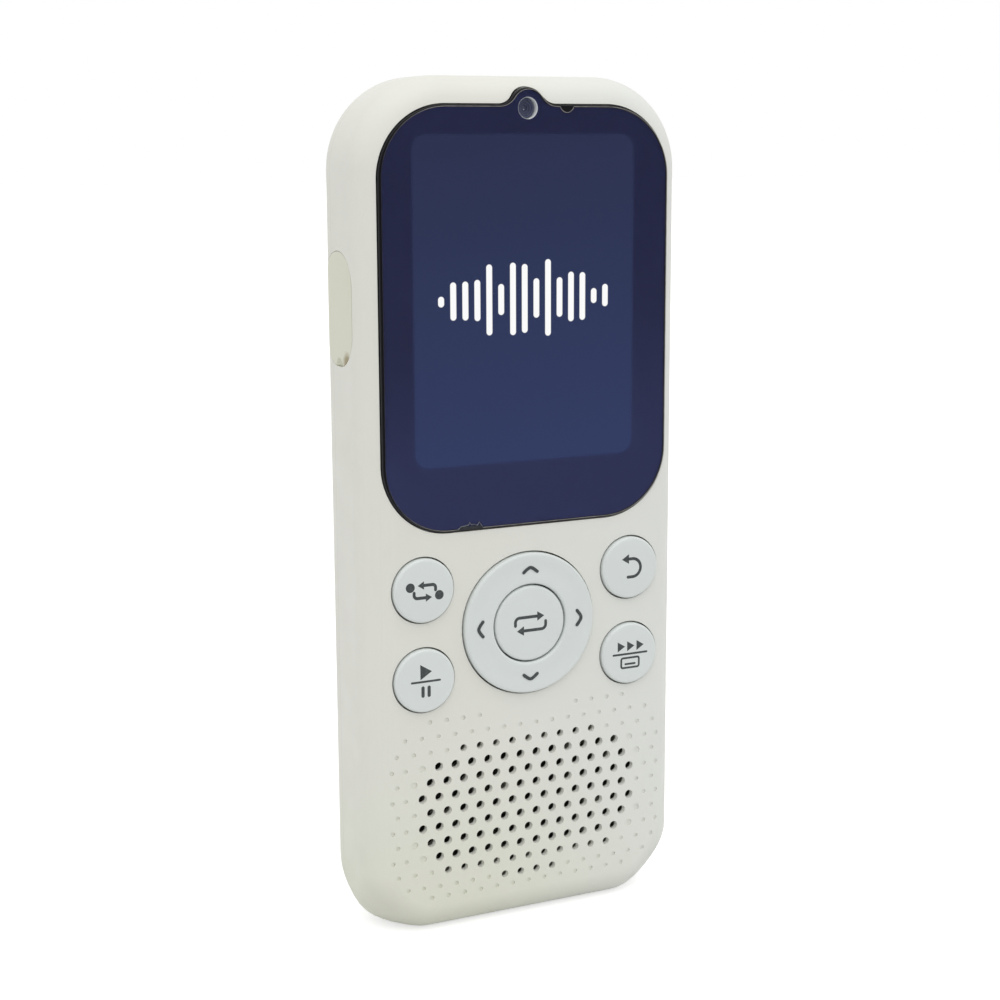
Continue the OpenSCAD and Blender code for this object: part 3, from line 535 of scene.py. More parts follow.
def amberRibbon(name, look):
    material, tree, shader, place = startFinish(name, look["roughness"])
    tracks = bands(tree, place, look["perMetre"], "X")
    paint(tree, shader, tracks, look["film"], look["track"])
    bumpFrom(tree, shader, tracks, look["depth"])
    return material


# camera lens: coated glass with faint rings and a painted highlight, a small bright spot
lensLook = {
    "coat": (82, 87, 110),
    "well": (66, 70, 92),
    "rings": 4.0,
    "spot": (215, 218, 224),
    "highlightDrop": 0.2,
    "highlightR": 0.1,
    "highlightCore": 0.4,
    "roughness": 0.2,
}


def coatedLens(name, look, centre, radius):
    material, tree, shader, place = startFinish(name, look["roughness"])
    axes = addNode(tree, "ShaderNodeSeparateXYZ", {0: place}).outputs
    x = calc(tree, "SUBTRACT", axes["X"], centre[0] * mm)
    z = calc(tree, "SUBTRACT", axes["Z"], centre[2] * mm)
    turns = look["rings"] * 2 * math.pi / (radius * mm)
    swing = calc(tree, "SINE", calc(tree, "MULTIPLY", lengthOf(tree, x, z), turns))
    share = remap(tree, swing, -1.0, 1.0, 0.0, 0.5)
    tone = blendColours(tree, share, linear(*look["coat"]), linear(*look["well"]))
    # painted highlight: a small bright spot just below the lens's middle
    away = lengthOf(tree, x, calc(tree, "ADD", z, look["highlightDrop"] * mm))
    highlightR = look["highlightR"] * mm
    spot = remap(tree, away, highlightR, highlightR * look["highlightCore"], 0.0, 1.0, True)
    tree.links.new(blendColours(tree, spot, tone, linear(*look["spot"])), shader.inputs["Base Color"])
    return material


# mesh builders: whole arrays of points in millimetres, turned into metres at the end
def arc(centre, radius, fromDegrees, toDegrees, steps):
    # points of a circle's arc, both ends included
    angle = np.radians(np.linspace(fromDegrees, toDegrees, steps))
    return np.stack([centre[0] + radius * np.cos(angle), centre[1] + radius * np.sin(angle)], 1)


def gridFaces(rows, columns, closeRows, closeColumns):
    # quads between neighbours of a rows by columns grid, wrapped round where it is closed
    r = np.arange(rows if closeRows else rows - 1)[:, None]
    c = np.arange(columns if closeColumns else columns - 1)[None, :]
    r2, c2 = (r + 1) % rows, (c + 1) % columns
    quads = np.stack([r * columns + c, r * columns + c2, r2 * columns + c2, r2 * columns + c], -1)
    return quads.reshape(-1, 4).tolist()


def outward(points, faces):
    # turns every face round if the closed mesh has a negative volume
    fans = np.array([(f[0], f[i], f[i + 1]) for f in faces for i in range(1, len(f) - 1)])
    a, b, c = points[fans[:, 0]], points[fans[:, 1]], points[fans[:, 2]]
    volume = np.einsum("ij,ij->i", a, np.cross(b, c)).sum()
    return [f[::-1] for f in faces] if volume < 0 else faces


def joinParts(parts):
    # several closed shells as one list of points and faces
    points, faces, start = [], [], 0
    for partPoints, partFaces in parts:
        points.append(partPoints)
        faces += [[i + start for i in f] for f in outward(partPoints, partFaces)]
        start += len(partPoints)
    return np.concatenate(points), faces


def makePiece(name, parts, material, body, sharpDegrees=40):
    points, faces = joinParts(parts)
    mesh = bpy.data.meshes.new(name)
    mesh.from_pydata((points * mm).tolist(), [], faces)
    mesh.shade_smooth()
    mesh.set_sharp_from_angle(angle=math.radians(sharpDegrees))
    mesh.materials.append(material)
    piece = bpy.data.objects.new(name, mesh)
    bpy.context.scene.collection.objects.link(piece)
    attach(piece, body)
    return piece


def turnedPart(profile, centre, steps=128):
    # a profile of radius and y turned about the Y axis through centre, with a pole at each end
    angle = np.linspace(0, 2 * math.pi, steps, endpoint=False)
    radius, depth = profile[1:-1, :1], profile[1:-1, 1:]
    x = centre[0] + radius * np.cos(angle)
    z = centre[1] + radius * np.sin(angle)
    body = np.stack([x, np.broadcast_to(depth, x.shape), z], -1).reshape(-1, 3)
    poles = [[centre[0], profile[0, 1], centre[1]], [centre[0], profile[-1, 1], centre[1]]]
    faces = gridFaces(len(profile) - 2, steps, False, True)
    ring = np.arange(steps)
    follow = (ring + 1) % steps
    last = (len(profile) - 3) * steps
    first = np.stack([np.full(steps, len(body)), follow, ring], 1)
    end = np.stack([np.full(steps, len(body) + 1), last + ring, last + follow], 1)
    return np.concatenate([body, poles]), faces + first.tolist() + end.tolist()


def turnedRing(profile, centre, steps=160):
    # a closed profile of radius and y turned about the Y axis through centre
    angle = np.linspace(0, 2 * math.pi, steps, endpoint=False)
    radius, depth = profile[:, :1], profile[:, 1:]
    x = centre[0] + radius * np.cos(angle)
    z = centre[1] + radius * np.sin(angle)
    points = np.stack([x, np.broadcast_to(depth, x.shape), z], -1).reshape(-1, 3)
    return points, gridFaces(len(profile), steps, True, True)


# shells that keep the solid's shape: a merged copy, shaded smooth with its crisp edges kept
def smoothCopy(node, name, material, sharpDegrees=34):
    mesh = nodes[node].data.copy()
    mesh.name = name
    if "custom_normal" in mesh.attributes:
        mesh.attributes.remove(mesh.attributes["custom_normal"])
    work = bmesh.new()
    work.from_mesh(mesh)
    bmesh.ops.remove_doubles(work, verts=work.verts, dist=0.002 * mm)
    work.to_mesh(mesh)
    work.free()
    mesh.shade_smooth()
    mesh.set_sharp_from_angle(angle=math.radians(sharpDegrees))
    mesh.materials.clear()
    mesh.materials.append(material)
    piece = bpy.data.objects.new(name, mesh)
    bpy.context.scene.collection.objects.link(piece)
    even = piece.modifiers.new("evenNormals", "WEIGHTED_NORMAL")
    even.mode = "FACE_AREA"
    even.keep_sharp = True
    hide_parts(node)
    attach(piece, nodes[node]["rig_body"])
    return piece


def movePoints(piece, change):
    # puts every point of a piece, in millimetres, through a function
    points = np.empty(len(piece.data.vertices) * 3)
    piece.data.vertices.foreach_get("co", points)
    piece.data.vertices.foreach_set("co", change(points.reshape(-1, 3) / mm).ravel() * mm)


def smoothStep(value, low, high):
    # rises from 0 at low to 1 at high, level at both ends
    share = np.clip((value - low) / (high - low), 0, 1)
    return share * share * (3 - 2 * share)


# lower corners of the shells: rounder in front and fuller at mid depth than the solids' plain corners
cornerShape = {
    "radius": 10.6,
    "draw": -0.71,
    "drawY": (-5.7, -1.7),
    "swell": 1.15,
    "swellY": (-6.1, 0.8, 7.8),
    "skin": (1.5, 10.0),
    "rowsY": (-2.4, -1.5, -0.6, 0.3, 1.2, 2.1, 3.0),
}


def shapeCorners(points):
    # each point moves along the corner's radius, by a push that depends on its depth,
    # times the squared sine of twice its angle
    x, y, z = points.T
    side = np.maximum(np.abs(x) - boxOf("front_housing")[1][0] + cornerShape["radius"], 0)
    drop = np.maximum(cornerShape["radius"] - z, 0)
    reach = np.maximum(np.hypot(side, drop), 1e-6)
    near, middle, far = cornerShape["swellY"]
    push = cornerShape["swell"] * smoothStep(y, near, middle) * smoothStep(y, far, middle)
    push += cornerShape["draw"] * smoothStep(y, *cornerShape["drawY"][::-1])
    push *= (2 * side * drop / reach ** 2) ** 2 * smoothStep(reach, *cornerShape["skin"])
    return np.stack([x + np.sign(x) * push * side / reach, y, z - push * drop / reach], 1)


def bentShell(node, name):
    # a shell's plain flanks are cut across at several depths, so that they can bend there
    piece = smoothCopy(node, name, ivory)
    work = bmesh.new()
    work.from_mesh(piece.data)
    for y in cornerShape["rowsY"]:
        geometry = work.verts[:] + work.edges[:] + work.faces[:]
        bmesh.ops.bisect_plane(work, geom=geometry, dist=1e-7, plane_co=(0, y * mm, 0), plane_no=(0, 1, 0))
    work.to_mesh(piece.data)
    work.free()
    movePoints(piece, shapeCorners)


ivory = mouldedPlastic("ivoryHousing", housingLook)
bentShell("front_housing", "frontShell")
bentShell("rear_housing", "rearShell")
smoothCopy("power_key", "powerButton", ivory)


# soft port cover: the solid's shape, swollen a little so that it nearly fills its recess
coverShape = {"swell": 0.12}


def portFlap():
    # every point moves out from the middle in proportion, along Y and Z only
    piece = smoothCopy("port_cover", "portFlap", softSilicone("creamSilicone", coverLook))
    low, high = boxOf("port_cover")
    middle = (low + high) / 2
    grow = 1 + coverShape["swell"] * np.array([0, 1, 1]) * 2 / (high - low)
    movePoints(piece, lambda points: middle + (points - middle) * grow)


portFlap()
print("shells built")


# keys: turned caps with a faint crown, a round rim, a flange and a foot
keyShape = {"crown": 0.1, "rim": 0.45, "flange": 0.8, "flangeT": 0.7, "flangeDepth": 1.9, "stem": 1.5}
frontPlane = boxOf("front_housing")[0][1]
keyBodies = {
    "ab_key": "ab_button",
    "play_key": "play_button",
    "return_key": "return_button",
    "subtitle_key": "subtitle_button",
    "centre_key": "centre_button",
}
satin = mouldedPlastic("satinKeys", keyLook)
keySpots = {}


def keyCap(node, flangeDepth):
    # crown: y rises with the square of the radius; rim: a quarter circle; then flange and foot
    low, high = boxOf(node)
    centre = (low[[0, 2]] + high[[0, 2]]) / 2
    top, end = low[1], high[1]
    radius = (high[0] - low[0]) / 2 - keyShape["flange"]
    rim = keyShape["rim"]
    flat = np.linspace(0, radius - rim, 10)
    crown = np.stack([flat, top + keyShape["crown"] * (flat / radius) ** 2], 1)
    rimEdge = arc((radius - rim, crown[-1, 1] + rim), rim, -90, 0, 10)
    seat = frontPlane + flangeDepth
    behind = seat + keyShape["flangeT"]
    wide = radius + keyShape["flange"]
    foot = [
        [radius, seat], [wide, seat], [wide, behind], [keyShape["stem"], behind],
        [keyShape["stem"], end], [0, end],
    ]
    keySpots[node] = {"centre": centre, "top": top, "radius": radius}
    piece = makePiece(node + "_cap", [turnedPart(np.concatenate([crown, rimEdge[1:], foot]), centre)],
                      satin, keyBodies[node])
    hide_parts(node)


padFront = boxOf("dpad_pad")[0][1] - frontPlane
for keyNode in keyBodies:
    keyCap(keyNode, padFront if keyNode == "centre_key" else keyShape["flangeDepth"])


ringShape = {"gap": 0.25, "rim": 0.45, "flange": 0.8, "flangeT": 0.35, "dish": 0.08}


def directionRing():
    # both rims are quarter circles, and the band between them sinks a little at its middle
    low, high = boxOf("dpad_ring")
    centre = (low[[0, 2]] + high[[0, 2]]) / 2
    top, end = low[1], high[1]
    outer = (high[0] - low[0]) / 2 - ringShape["flange"]
    inner = keySpots["centre_key"]["radius"] + ringShape["gap"]
    rim = ringShape["rim"]
    band = np.linspace(inner + rim, outer - rim, 14)
    share = (band - band[0]) / (band[-1] - band[0])
    face = np.stack([band, top + ringShape["dish"] * np.sin(math.pi * share) ** 2], 1)
    innerRim = arc((inner + rim, top + rim), rim, 180, 270, 10)
    outerRim = arc((outer - rim, top + rim), rim, -90, 0, 10)
    lip = end - ringShape["flangeT"]
    wide = outer + ringShape["flange"]
    back = [[outer, lip], [wide, lip], [wide, end], [inner, end]]
    profile = np.concatenate([innerRim[:-1], face, outerRim[1:], back])
    keySpots["dpad_ring"] = {"centre": centre, "top": top, "inner": inner, "outer": outer}
    piece = makePiece("direction_band", [turnedRing(profile, centre)], satin, "direction_ring")
    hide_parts("dpad_ring")


directionRing()
print("keys built")


# key signs: thin printed strokes and plates, laid on the keys' tops
printShape = {"lift": 0.012, "sunk": 0.05, "stroke": 0.24, "fine": 0.16, "bar": 0.264, "headHalf": 0.62}


def onKey(spot, x, z, extra):
    # points of a key's top, given from its centre
    reach = np.hypot(x, z) / spot.get("radius", 1.0)
    crown = keyShape["crown"] * reach ** 2 if "radius" in spot else 0.0 * reach
    return np.stack([spot["centre"][0] + x, spot["top"] + crown + extra, spot["centre"][1] + z], -1)


def strokePart(spot, path, half):
    # a ribbon along a path, carried past both ends with half circles, with a top, a bottom and sides
    path = np.asarray(path, float)
    ahead = np.gradient(path, axis=0)
    ahead /= np.linalg.norm(ahead, axis=1, keepdims=True)
    cap = np.radians(np.linspace(82, 0, 6))
    first = path[0] - ahead[0] * half * np.sin(cap)[:, None]
    last = path[-1] + ahead[-1] * half * np.sin(cap)[::-1, None]
    line = np.concatenate([first[:-1], path, last[1:]])
    wide = np.concatenate([np.cos(cap)[:-1], np.ones(len(path)), np.cos(cap)[::-1][1:]]) * half
    extra = len(cap) - 1
    course = np.concatenate([np.repeat(ahead[:1], extra, 0), ahead, np.repeat(ahead[-1:], extra, 0)])
    across = np.stack([-course[:, 1], course[:, 0]], 1) * wide[:, None]
    left, right = line + across, line - across
    corners = [
        onKey(spot, left[:, 0], left[:, 1], -printShape["lift"]),
        onKey(spot, right[:, 0], right[:, 1], -printShape["lift"]),
        onKey(spot, right[:, 0], right[:, 1], printShape["sunk"]),
        onKey(spot, left[:, 0], left[:, 1], printShape["sunk"]),
    ]
    points = np.stack(corners, 1).reshape(-1, 3)
    end = len(points) - 4
    faces = gridFaces(len(line), 4, False, True)
    return points, faces + [[3, 2, 1, 0], [end, end + 1, end + 2, end + 3]]


def platePart(spot, outline):
    # a filled sign: its outline at two depths, closed by a fan from the middle on each side
    outline = np.asarray(outline, float)
    count = len(outline)
    middle = outline.mean(0)
    flat = np.concatenate([outline, [middle]])
    points = np.concatenate([
        onKey(spot, flat[:, 0], flat[:, 1], -printShape["lift"]),
        onKey(spot, flat[:, 0], flat[:, 1], printShape["sunk"]),
    ])
    ring = np.arange(count)
    follow = (ring + 1) % count
    hub = np.full(count, count)
    front = np.stack([ring, follow, hub], 1)
    back = np.stack([follow, ring, hub], 1) + count + 1
    sides = np.stack([follow, ring, ring + count + 1, follow + count + 1], 1)
    return points, front.tolist() + back.tolist() + sides.tolist()


def straight(start, end, steps=8):
    return np.linspace(start, end, steps)


def arrowHead(tip, direction, size):
    # a filled triangle that points along direction
    tip, direction = np.asarray(tip, float), np.asarray(direction, float)
    back = tip - direction * size
    side = np.array([-direction[1], direction[0]]) * size * printShape["headHalf"]
    return [tip, back + side, back - side]


def loopSign(spot):
    # swap arrows between two points: a dot, two hooked arrows and a second dot
    parts = []
    for turn in (1, -1):
        hook = np.concatenate([
            straight((1.75, 0.1), (1.75, 0.45), 3),
            arc((1.25, 0.45), 0.5, 0, 90, 8)[1:],
            straight((1.25, 0.95), (-0.35, 0.95))[1:],
        ])
        parts.append(strokePart(spot, hook * turn, printShape["stroke"]))
        parts.append(platePart(spot, np.array(arrowHead((-1.15, 0.95), (-1, 0), 1.0)) * turn))
        parts.append(platePart(spot, arc((-2.35 * turn, 0.75 * turn), 0.72, 0, 360, 25)[:-1]))
    return parts


def playSign(spot):
    # play triangle over a line over two pause bars
    parts = [platePart(spot, arrowHead((1.0, 1.5), (1, 0), 1.9))]
    parts.append(strokePart(spot, straight((-2.3, 0), (2.3, 0)), printShape["fine"]))
    for x in (-0.5, 0.5):
        parts.append(strokePart(spot, straight((x, -0.95), (x, -2.2)), printShape["bar"]))
    return parts


def subtitleSign(spot):
    # three play triangles over a line over a caption frame
    parts = [platePart(spot, arrowHead((x + 0.75, 1.25), (1, 0), 1.3)) for x in (-1.7, 0.0, 1.7)]
    parts.append(strokePart(spot, straight((-3.0, 0), (3.0, 0)), printShape["fine"]))
    frameLine = np.concatenate([
        arc((1.3, -0.95), 0.3, 90, 0, 5), arc((1.3, -1.95), 0.3, 0, -90, 5),
        arc((-1.3, -1.95), 0.3, -90, -180, 5), arc((-1.3, -0.95), 0.3, 180, 90, 5), [[1.3, -0.65]],
    ])
    parts.append(strokePart(spot, frameLine, printShape["fine"]))
    parts.append(strokePart(spot, straight((-0.85, -1.65), (0.85, -1.65)), printShape["fine"]))
    return parts


def returnSign(spot):
    # an arrow that turns back on itself
    bend = np.concatenate([
        straight((-0.5, 1.45), (0.3, 1.45)),
        arc((0.3, 0.0), 1.45, 90, -90, 24)[1:],
        straight((0.3, -1.45), (-0.5, -1.45), 4)[1:],
    ])
    head = arrowHead((-1.6, 1.45), (-1, 0), 1.25)
    return [strokePart(spot, bend, printShape["stroke"]), platePart(spot, head)]


def repeatSign(spot):
    # a flat loop in two halves, each with its arrow head
    parts = []
    for turn in (1, -1):
        half = np.concatenate([
            straight((-2.6, -0.15), (-2.6, 0.35), 3),
            arc((-1.9, 0.35), 0.7, 180, 90, 8)[1:],
            straight((-1.9, 1.05), (1.35, 1.05))[1:],
        ])
        parts.append(strokePart(spot, half * turn, printShape["stroke"]))
        parts.append(platePart(spot, np.array(arrowHead((2.35, 1.05), (1, 0), 1.2)) * turn))
    return parts


chevronShape = {"reach": 8.7, "half": 1.15, "rise": 1.05, "bend": 0.16, "stroke": 0.25}


def chevronSigns(spot):
    # four bent strokes that point outwards, a quarter turn apart
    parts = []
    for quarter in range(4):
        angle = quarter * math.pi / 2
        out = np.array([math.cos(angle), math.sin(angle)])
        side = np.array([-out[1], out[0]])
        across = np.linspace(-1, 1, 15)[:, None]
        rise = chevronShape["rise"] * (0.5 - np.sqrt(across ** 2 + chevronShape["bend"]))
        path = out * (chevronShape["reach"] + rise) + side * across * chevronShape["half"]
        parts.append(strokePart(spot, path, chevronShape["stroke"]))
    return parts


ink = printedInk("keyInk", inkLook)
signs = {
    "ab_key": loopSign,
    "play_key": playSign,
    "return_key": returnSign,
    "subtitle_key": subtitleSign,
    "centre_key": repeatSign,
}
for keyNode, sign in signs.items():
    makePiece(keyNode + "_sign", sign(keySpots[keyNode]), ink, keyBodies[keyNode])
makePiece("direction_signs", chevronSigns(keySpots["dpad_ring"]), ink, "direction_ring")
print("key signs built")


# cover glass: the outline of the solid, with its front edge rounded over
glassShape = {
    "corner": 10.5,
    "cornerSteps": 24,
    "blend": 2.7,
    "hole": 1.55,
    "holeEdge": 0.05,
    "eyeDrop": 0.5,
    "edge": 0.3,
    "bare": 0.4,
    "wall": ((222, 226, 228), (232, 235, 236)),
}


def eyeHeight():
    low, high = boxOf("camera_lens")
    return (low[2] + high[2]) / 2


def glassOutline(inset, low, high, eye, topEdge):
    # rounded rectangle with a round bump about the camera, blended into the top edge by hollow arcs
    corner, blend = glassShape["corner"] - inset, glassShape["blend"] + inset
    bump, steps = high[2] - eye - inset, glassShape["cornerSteps"]
    left, right, foot, top = low[0] + inset, high[0] - inset, low[2] + inset, topEdge - inset
    rise = top + blend - eye
    away = math.sqrt((bump + blend) ** 2 - rise ** 2)
    lean = math.degrees(math.atan2(rise, away))
    return np.concatenate([
        arc((right - corner, foot + corner), corner, -90, 0, steps),
        arc((right - corner, top - corner), corner, 0, 90, steps),
        arc((away, top + blend), blend, 270, 180 + lean, steps // 3),
        arc((0, eye), bump, lean, 180 - lean, steps),
        arc((-away, top + blend), blend, -lean, -90, steps // 3),
        arc((left + corner, top - corner), corner, 90, 180, steps),
        arc((left + corner, foot + corner), corner, 180, 270, steps),
    ])


def lidBetween(outer, hole):
    # triangles between an outline and the hole in it, all turned the same way round
    loops = [np.insert(loop, 2, 0, 1).tolist() for loop in (outer, hole)]
    lid = np.array(tessellate_polygon(loops))
    flat = np.concatenate([outer, hole])
    a, b, c = flat[lid[:, 0]], flat[lid[:, 1]], flat[lid[:, 2]]
    clockwise = (b - a)[:, 0] * (c - a)[:, 1] < (b - a)[:, 1] * (c - a)[:, 0]
    lid[clockwise] = lid[clockwise][:, ::-1]
    return lid


def atDepth(flat, y):
    return np.insert(flat, 1, y, 1)


def coverGlass():
    # outline carried from the back round its front edge, a flat lid at both ends, and a round hole
    low, high = boxOf("screen_glass")
    eye = eyeHeight()
    topEdge = eye + glassShape["eyeDrop"]
    edge, bevel = glassShape["edge"], glassShape["holeEdge"]
    whole = glassOutline(0, low, high, eye, topEdge)
    band = glassOutline(glassShape["bare"], low, high, eye, topEdge)
    rows = [atDepth(whole, high[1])]
    for a in np.radians(np.linspace(90, 0, 8)):
        line = glassOutline(edge * (1 - math.sin(a)), low, high, eye, topEdge)
        rows.append(atDepth(line, low[1] + edge * (1 - math.cos(a))))
    rows.append(atDepth(band, low[1]))
    holeR = glassShape["hole"]
    wide, narrow = (arc((0, eye), r, 0, 360, 73)[:-1] for r in (holeR + bevel, holeR))
    wall = [atDepth(wide, low[1]), atDepth(narrow, low[1] + bevel), atDepth(narrow, high[1])]
    count, around, wallStart = len(whole), len(wide), len(rows) * len(whole)
    sides = np.array(gridFaces(len(rows), count, False, True))
    bore = np.array(gridFaces(3, around, False, True)) + wallStart
    front = lidBetween(band, wide)
    front = np.where(front < count, front + wallStart - count, front - count + wallStart)
    back = lidBetween(whole, narrow)[:, ::-1]
    back = np.where(back < count, back, back - count + wallStart + 2 * around)
    faces = front.tolist() + sides.tolist() + back.tolist() + bore.tolist()
    piece = makePiece("cover_glass", [(np.concatenate(rows + wall), faces)],
                      litScreen("litScreen", screenLook), "housing")
    piece.data.materials.append(bareEdge)
    piece.data.materials.append(holeWall)
    finish = np.repeat([0, 1, 2], [len(front), len(sides) + len(back), len(bore)])
    piece.data.polygons.foreach_set("material_index", finish)
    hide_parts("screen_glass")


bareEdge = bareGlass("bareGlass", bareLook)
holeWall = dullGrain("holeWall", glassShape["wall"], 0.6, 2400, 0.00001)
coverGlass()
print("cover glass built")


# film: the glass's outline drawn in, with a lift notch above and a torn chip below
filmShape = {
    "inset": 0.28,
    "shift": 0.12,
    "notchX": 6.3,
    "notchHalf": 1.15,
    "notchDeep": 0.85,
    "notchPower": 0.75,
    "notchLap": 0.1,
    "eyeR": 1.75,
    "clear": 0.02,
    "rimHalf": 0.036,
    "chipHigh": 0.45,
    "chipLap": -0.03,
    "tornHalf": 0.05,
    "tear": [
        (-12.0, 0.03), (-11.5, 0.42), (-10.9, 0.5), (-10.25, 0.63), (-10.1, 1.0), (-9.8, 0.58),
        (-9.3, 0.63), (-8.85, 0.42), (-8.5, 0.93), (-8.2, 0.45), (-7.9, 0.03),
    ],
}


def filmSheet():
    # one outline with a bowl-shaped notch and a ragged tear, at two depths, round the camera's hole
    glassLow, glassHigh = boxOf("screen_glass")
    low, high = boxOf("screen_film")
    eye = eyeHeight()
    topEdge = eye + glassShape["eyeDrop"]
    inset, shift = filmShape["inset"], filmShape["shift"]
    line = glassOutline(inset, glassLow, glassHigh, eye, topEdge)
    swing = np.linspace(1, -1, 17)
    notchX = filmShape["notchX"] + filmShape["notchHalf"] * swing
    notchZ = topEdge - inset - filmShape["notchDeep"] * (1 - swing ** 2) ** filmShape["notchPower"]
    notch = np.stack([notchX, notchZ], 1)
    tear = np.array(filmShape["tear"]) + [0, glassLow[2] + inset]
    turn = 2 * glassShape["cornerSteps"]
    outer = np.concatenate([line[:turn], notch, line[turn:], tear]) + [shift, 0]
    hole = arc((0, eye), filmShape["eyeR"], 360, 0, 49)[:-1]
    flat = np.concatenate([outer, hole])
    count = len(flat)
    lid = lidBetween(outer, hole)
    sides = []
    for start, length in ((0, len(outer)), (len(outer), len(hole))):
        i = np.arange(length)
        j = (i + 1) % length
        sides += (np.stack([i, i + count, j + count, j], 1) + start).tolist()
    points = np.concatenate([atDepth(flat, low[1]), atDepth(flat, high[1] - filmShape["clear"])])
    faces = lid.tolist() + (lid[:, ::-1] + count).tolist() + sides
    sheet = makePiece("film_sheet", [(points, faces)], clearFilm("clearFilm", filmLook), "housing")
    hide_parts("screen_film")
    face = {"centre": (0, 0), "top": low[1]}
    rim = strokePart(face, np.concatenate([outer, outer[:1]]), filmShape["rimHalf"])
    makePiece("film_rim", [rim], filmRim("filmRim", filmLook, glassHigh[0]), "housing")
    gap = platePart(face, notch + [shift, filmShape["notchLap"]])
    makePiece("film_notch", [gap], bareEdge, "housing")
    torn = dullGrain("tornEdge", filmLook["torn"], 0.5, 2500, 0.000005)
    tornLine = strokePart(face, tear + [shift, 0], filmShape["tornHalf"])
    makePiece("film_tear", [tornLine], torn, "housing")
    chip = np.minimum(tear, [math.inf, glassLow[2] + inset + filmShape["chipHigh"]])
    chip = platePart(face, chip + [shift, filmShape["chipLap"]])
    chipTone = dullGrain("chipGap", filmLook["chip"], 0.5, 2000, 0.000005)
    makePiece("film_chip", [chip], chipTone, "housing")


filmSheet()
print("film built")


# camera lens: a barrel whose face steps down in rings to a small domed lens
barrelShape = {"sunk": 0.85, "steps": 3, "stepDeep": 0.22, "stepWide": 0.32, "slope": 0.05, "dome": 0.12}


def lensBarrel():
    # rim, then rings that each lie a step deeper and a step further in, then a dome
    low, high = boxOf("camera_lens")
    centre = (low[[0, 2]] + high[[0, 2]]) / 2
    radius = (high[0] - low[0]) / 2
    front = boxOf("screen_glass")[0][1] + barrelShape["sunk"]
    wide, slope = barrelShape["stepWide"], barrelShape["slope"]
    number = np.arange(barrelShape["steps"])[:, None]
    reach = radius - number * wide - [[0, wide - slope]]
    depth = front + number * barrelShape["stepDeep"] + [[0, 0]]
    rings = np.stack([reach, depth], -1).reshape(-1, 2)
    domeR = rings[-1, 0] - slope
    share = np.linspace(1, 0, 9)
    foot = front + barrelShape["steps"] * barrelShape["stepDeep"]
    dome = np.stack([domeR * share, foot - barrelShape["dome"] * (1 - share ** 2)], 1)
    profile = np.concatenate([dome[::-1], rings[::-1], [[radius, high[1]], [0, high[1]]]])
    finish = coatedLens("coatedLens", lensLook, (low + high) / 2, radius)
    piece = makePiece("lens_barrel", [turnedPart(profile, centre, 72)], finish, "housing", 25)
    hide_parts("camera_lens")


lensBarrel()
print("lens built")


# solids that stay as they are, with their finishes
steel = brushedMetal("brushedSteel", ((205, 206, 208), (176, 178, 181)), 0.32, (1, 1, 0.08))
blackPlastic = dullGrain("blackPlastic", ((24, 24, 26), (36, 36, 38)), 0.5, 2600, 0.00001)
foam = dullGrain("greyFoam", ((70, 70, 74), (96, 96, 100)), 0.95, 3200, 0.00008)
gasket = dullGrain("paleGasket", ((186, 189, 190), (202, 205, 206)), 0.6, 2400, 0.00001)
finishes = {
    "steel": steel,
    "black_plastic": blackPlastic,
    "foam": foam,
    "gasket": gasket,
    "display": dullGrain("displayGlass", ((30, 36, 62), (36, 42, 70)), 0.12, 900, 0.000002),
    "board": circuitBoard("circuitBoard", boardLook),
    "ribbon": amberRibbon("amberRibbon", ribbonLook),
    "connector": dullGrain("connectorPlastic", ((214, 208, 190), (226, 220, 204)), 0.5, 2200, 0.00001),
    "mesh": wovenMesh("wovenMesh", meshLook),
    "cell": brushedMetal("foilCell", ((196, 198, 200), (168, 170, 174)), 0.42, (0.4, 1, 0.4)),
    "housing": ivory,
    "keys": satin,
}
for solid in nodes.values():
    if solid.hide_render:
        continue
    finish = finishes[solid.data.materials[0].name]
    solid.data.materials.clear()
    solid.data.materials.append(finish)
print("solids finished")


# pale floor, white surround, one soft lamp overhead and a dark card in front that only reflections see
studio = {
    "floorHalf": 6.0,
    "floorTone": 0.65,
    "floorLift": 0.6,
    "worldDiffuse": 0.915,
    "lampWatts": 5.3,
    "lampSize": 1.2,
    "lampPlace": (-0.1, -0.7, 1.25),
    "lampAim": (0, 0, 0.07),
    "cardHalf": 3.0,
    "cardNear": -0.1,
    "cardFar": -1.6,
    "cardTall": 2.6,
    "cardTone": 0.05,
}


def stageSheet(name, half, profile, material):
    # a profile of y and z carried from -half to half along X
    points = [(side * half, y, z) for y, z in profile for side in (-1, 1)]
    mesh = bpy.data.meshes.new(name)
    mesh.from_pydata(points, [], gridFaces(len(profile), 2, False, False))
    mesh.materials.append(material)
    sheet = bpy.data.objects.new(name, mesh)
    bpy.context.scene.collection.objects.link(sheet)
    return sheet


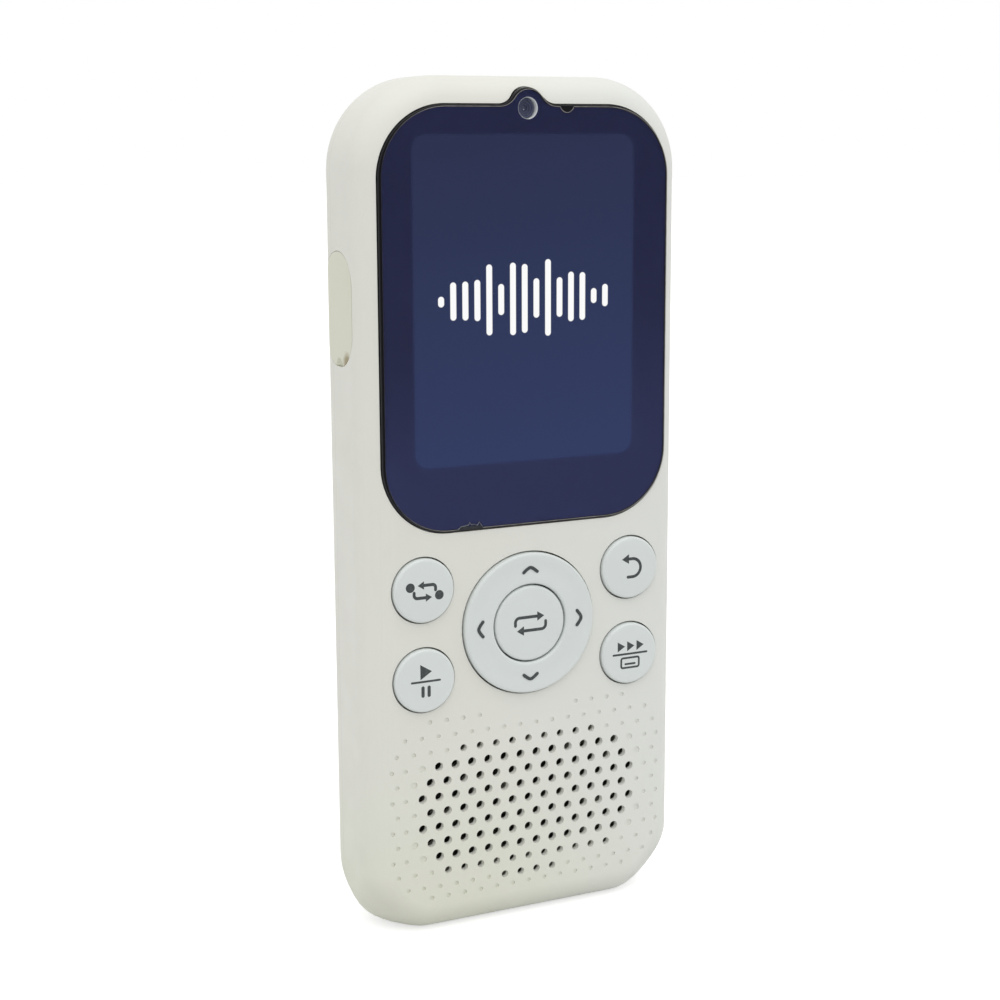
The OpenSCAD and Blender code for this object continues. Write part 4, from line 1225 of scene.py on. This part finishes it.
def seesBackground(tree):
    path = addNode(tree, "ShaderNodeLightPath").outputs
    seen = calc(tree, "MAXIMUM", path["Is Camera Ray"], path["Is Glossy Ray"])
    return calc(tree, "MAXIMUM", seen, path["Is Transmission Ray"])


def buildFloor():
    material, tree, shader, _ = startFinish("paleFloor", 0.9)
    tone = studio["floorTone"]
    shader.inputs["Base Color"].default_value = (tone, tone, tone, 1)
    shader.inputs["Specular IOR Level"].default_value = 0.0
    shader.inputs["Emission Color"].default_value = (1, 1, 1, 1)
    lift = calc(tree, "MULTIPLY", seesBackground(tree), studio["floorLift"])
    tree.links.new(lift, shader.inputs["Emission Strength"])
    half = studio["floorHalf"]
    stageSheet("floor", half, [(-half, 0), (half, 0)], material)


def buildWorld():
    world = bpy.data.worlds.new("studioWorld")
    bpy.context.scene.world = world
    world.use_nodes = True
    tree = world.node_tree
    strength = remap(tree, seesBackground(tree), 0.0, 1.0, studio["worldDiffuse"], 1.0)
    tree.links.new(strength, tree.nodes["Background"].inputs["Strength"])
    tree.nodes["Background"].inputs["Color"].default_value = (1, 1, 1, 1)


def buildLamp():
    data = bpy.data.lights.new("softLamp", "AREA")
    data.energy = studio["lampWatts"]
    data.size = studio["lampSize"]
    lamp = bpy.data.objects.new("softLamp", data)
    lamp.location = studio["lampPlace"]
    aim = np.array(studio["lampAim"]) - np.array(studio["lampPlace"])
    tilt = math.atan2(math.hypot(aim[0], aim[1]), -aim[2])
    lamp.rotation_euler = (tilt, 0, math.atan2(aim[0], -aim[1]) + math.pi)
    bpy.context.scene.collection.objects.link(lamp)


def buildCard():
    material, _, shader, _ = startFinish("darkCard", 1.0)
    tone = studio["cardTone"]
    shader.inputs["Base Color"].default_value = (tone, tone, tone, 1)
    profile = [(studio["cardNear"], mm), (studio["cardFar"], mm), (studio["cardFar"], studio["cardTall"])]
    card = stageSheet("darkCard", studio["cardHalf"], profile, material)
    card.visible_camera = False
    card.visible_diffuse = False
    card.visible_shadow = False


buildFloor()
buildWorld()
buildLamp()
buildCard()
bpy.context.scene.view_settings.view_transform = "Standard"
print("studio built")
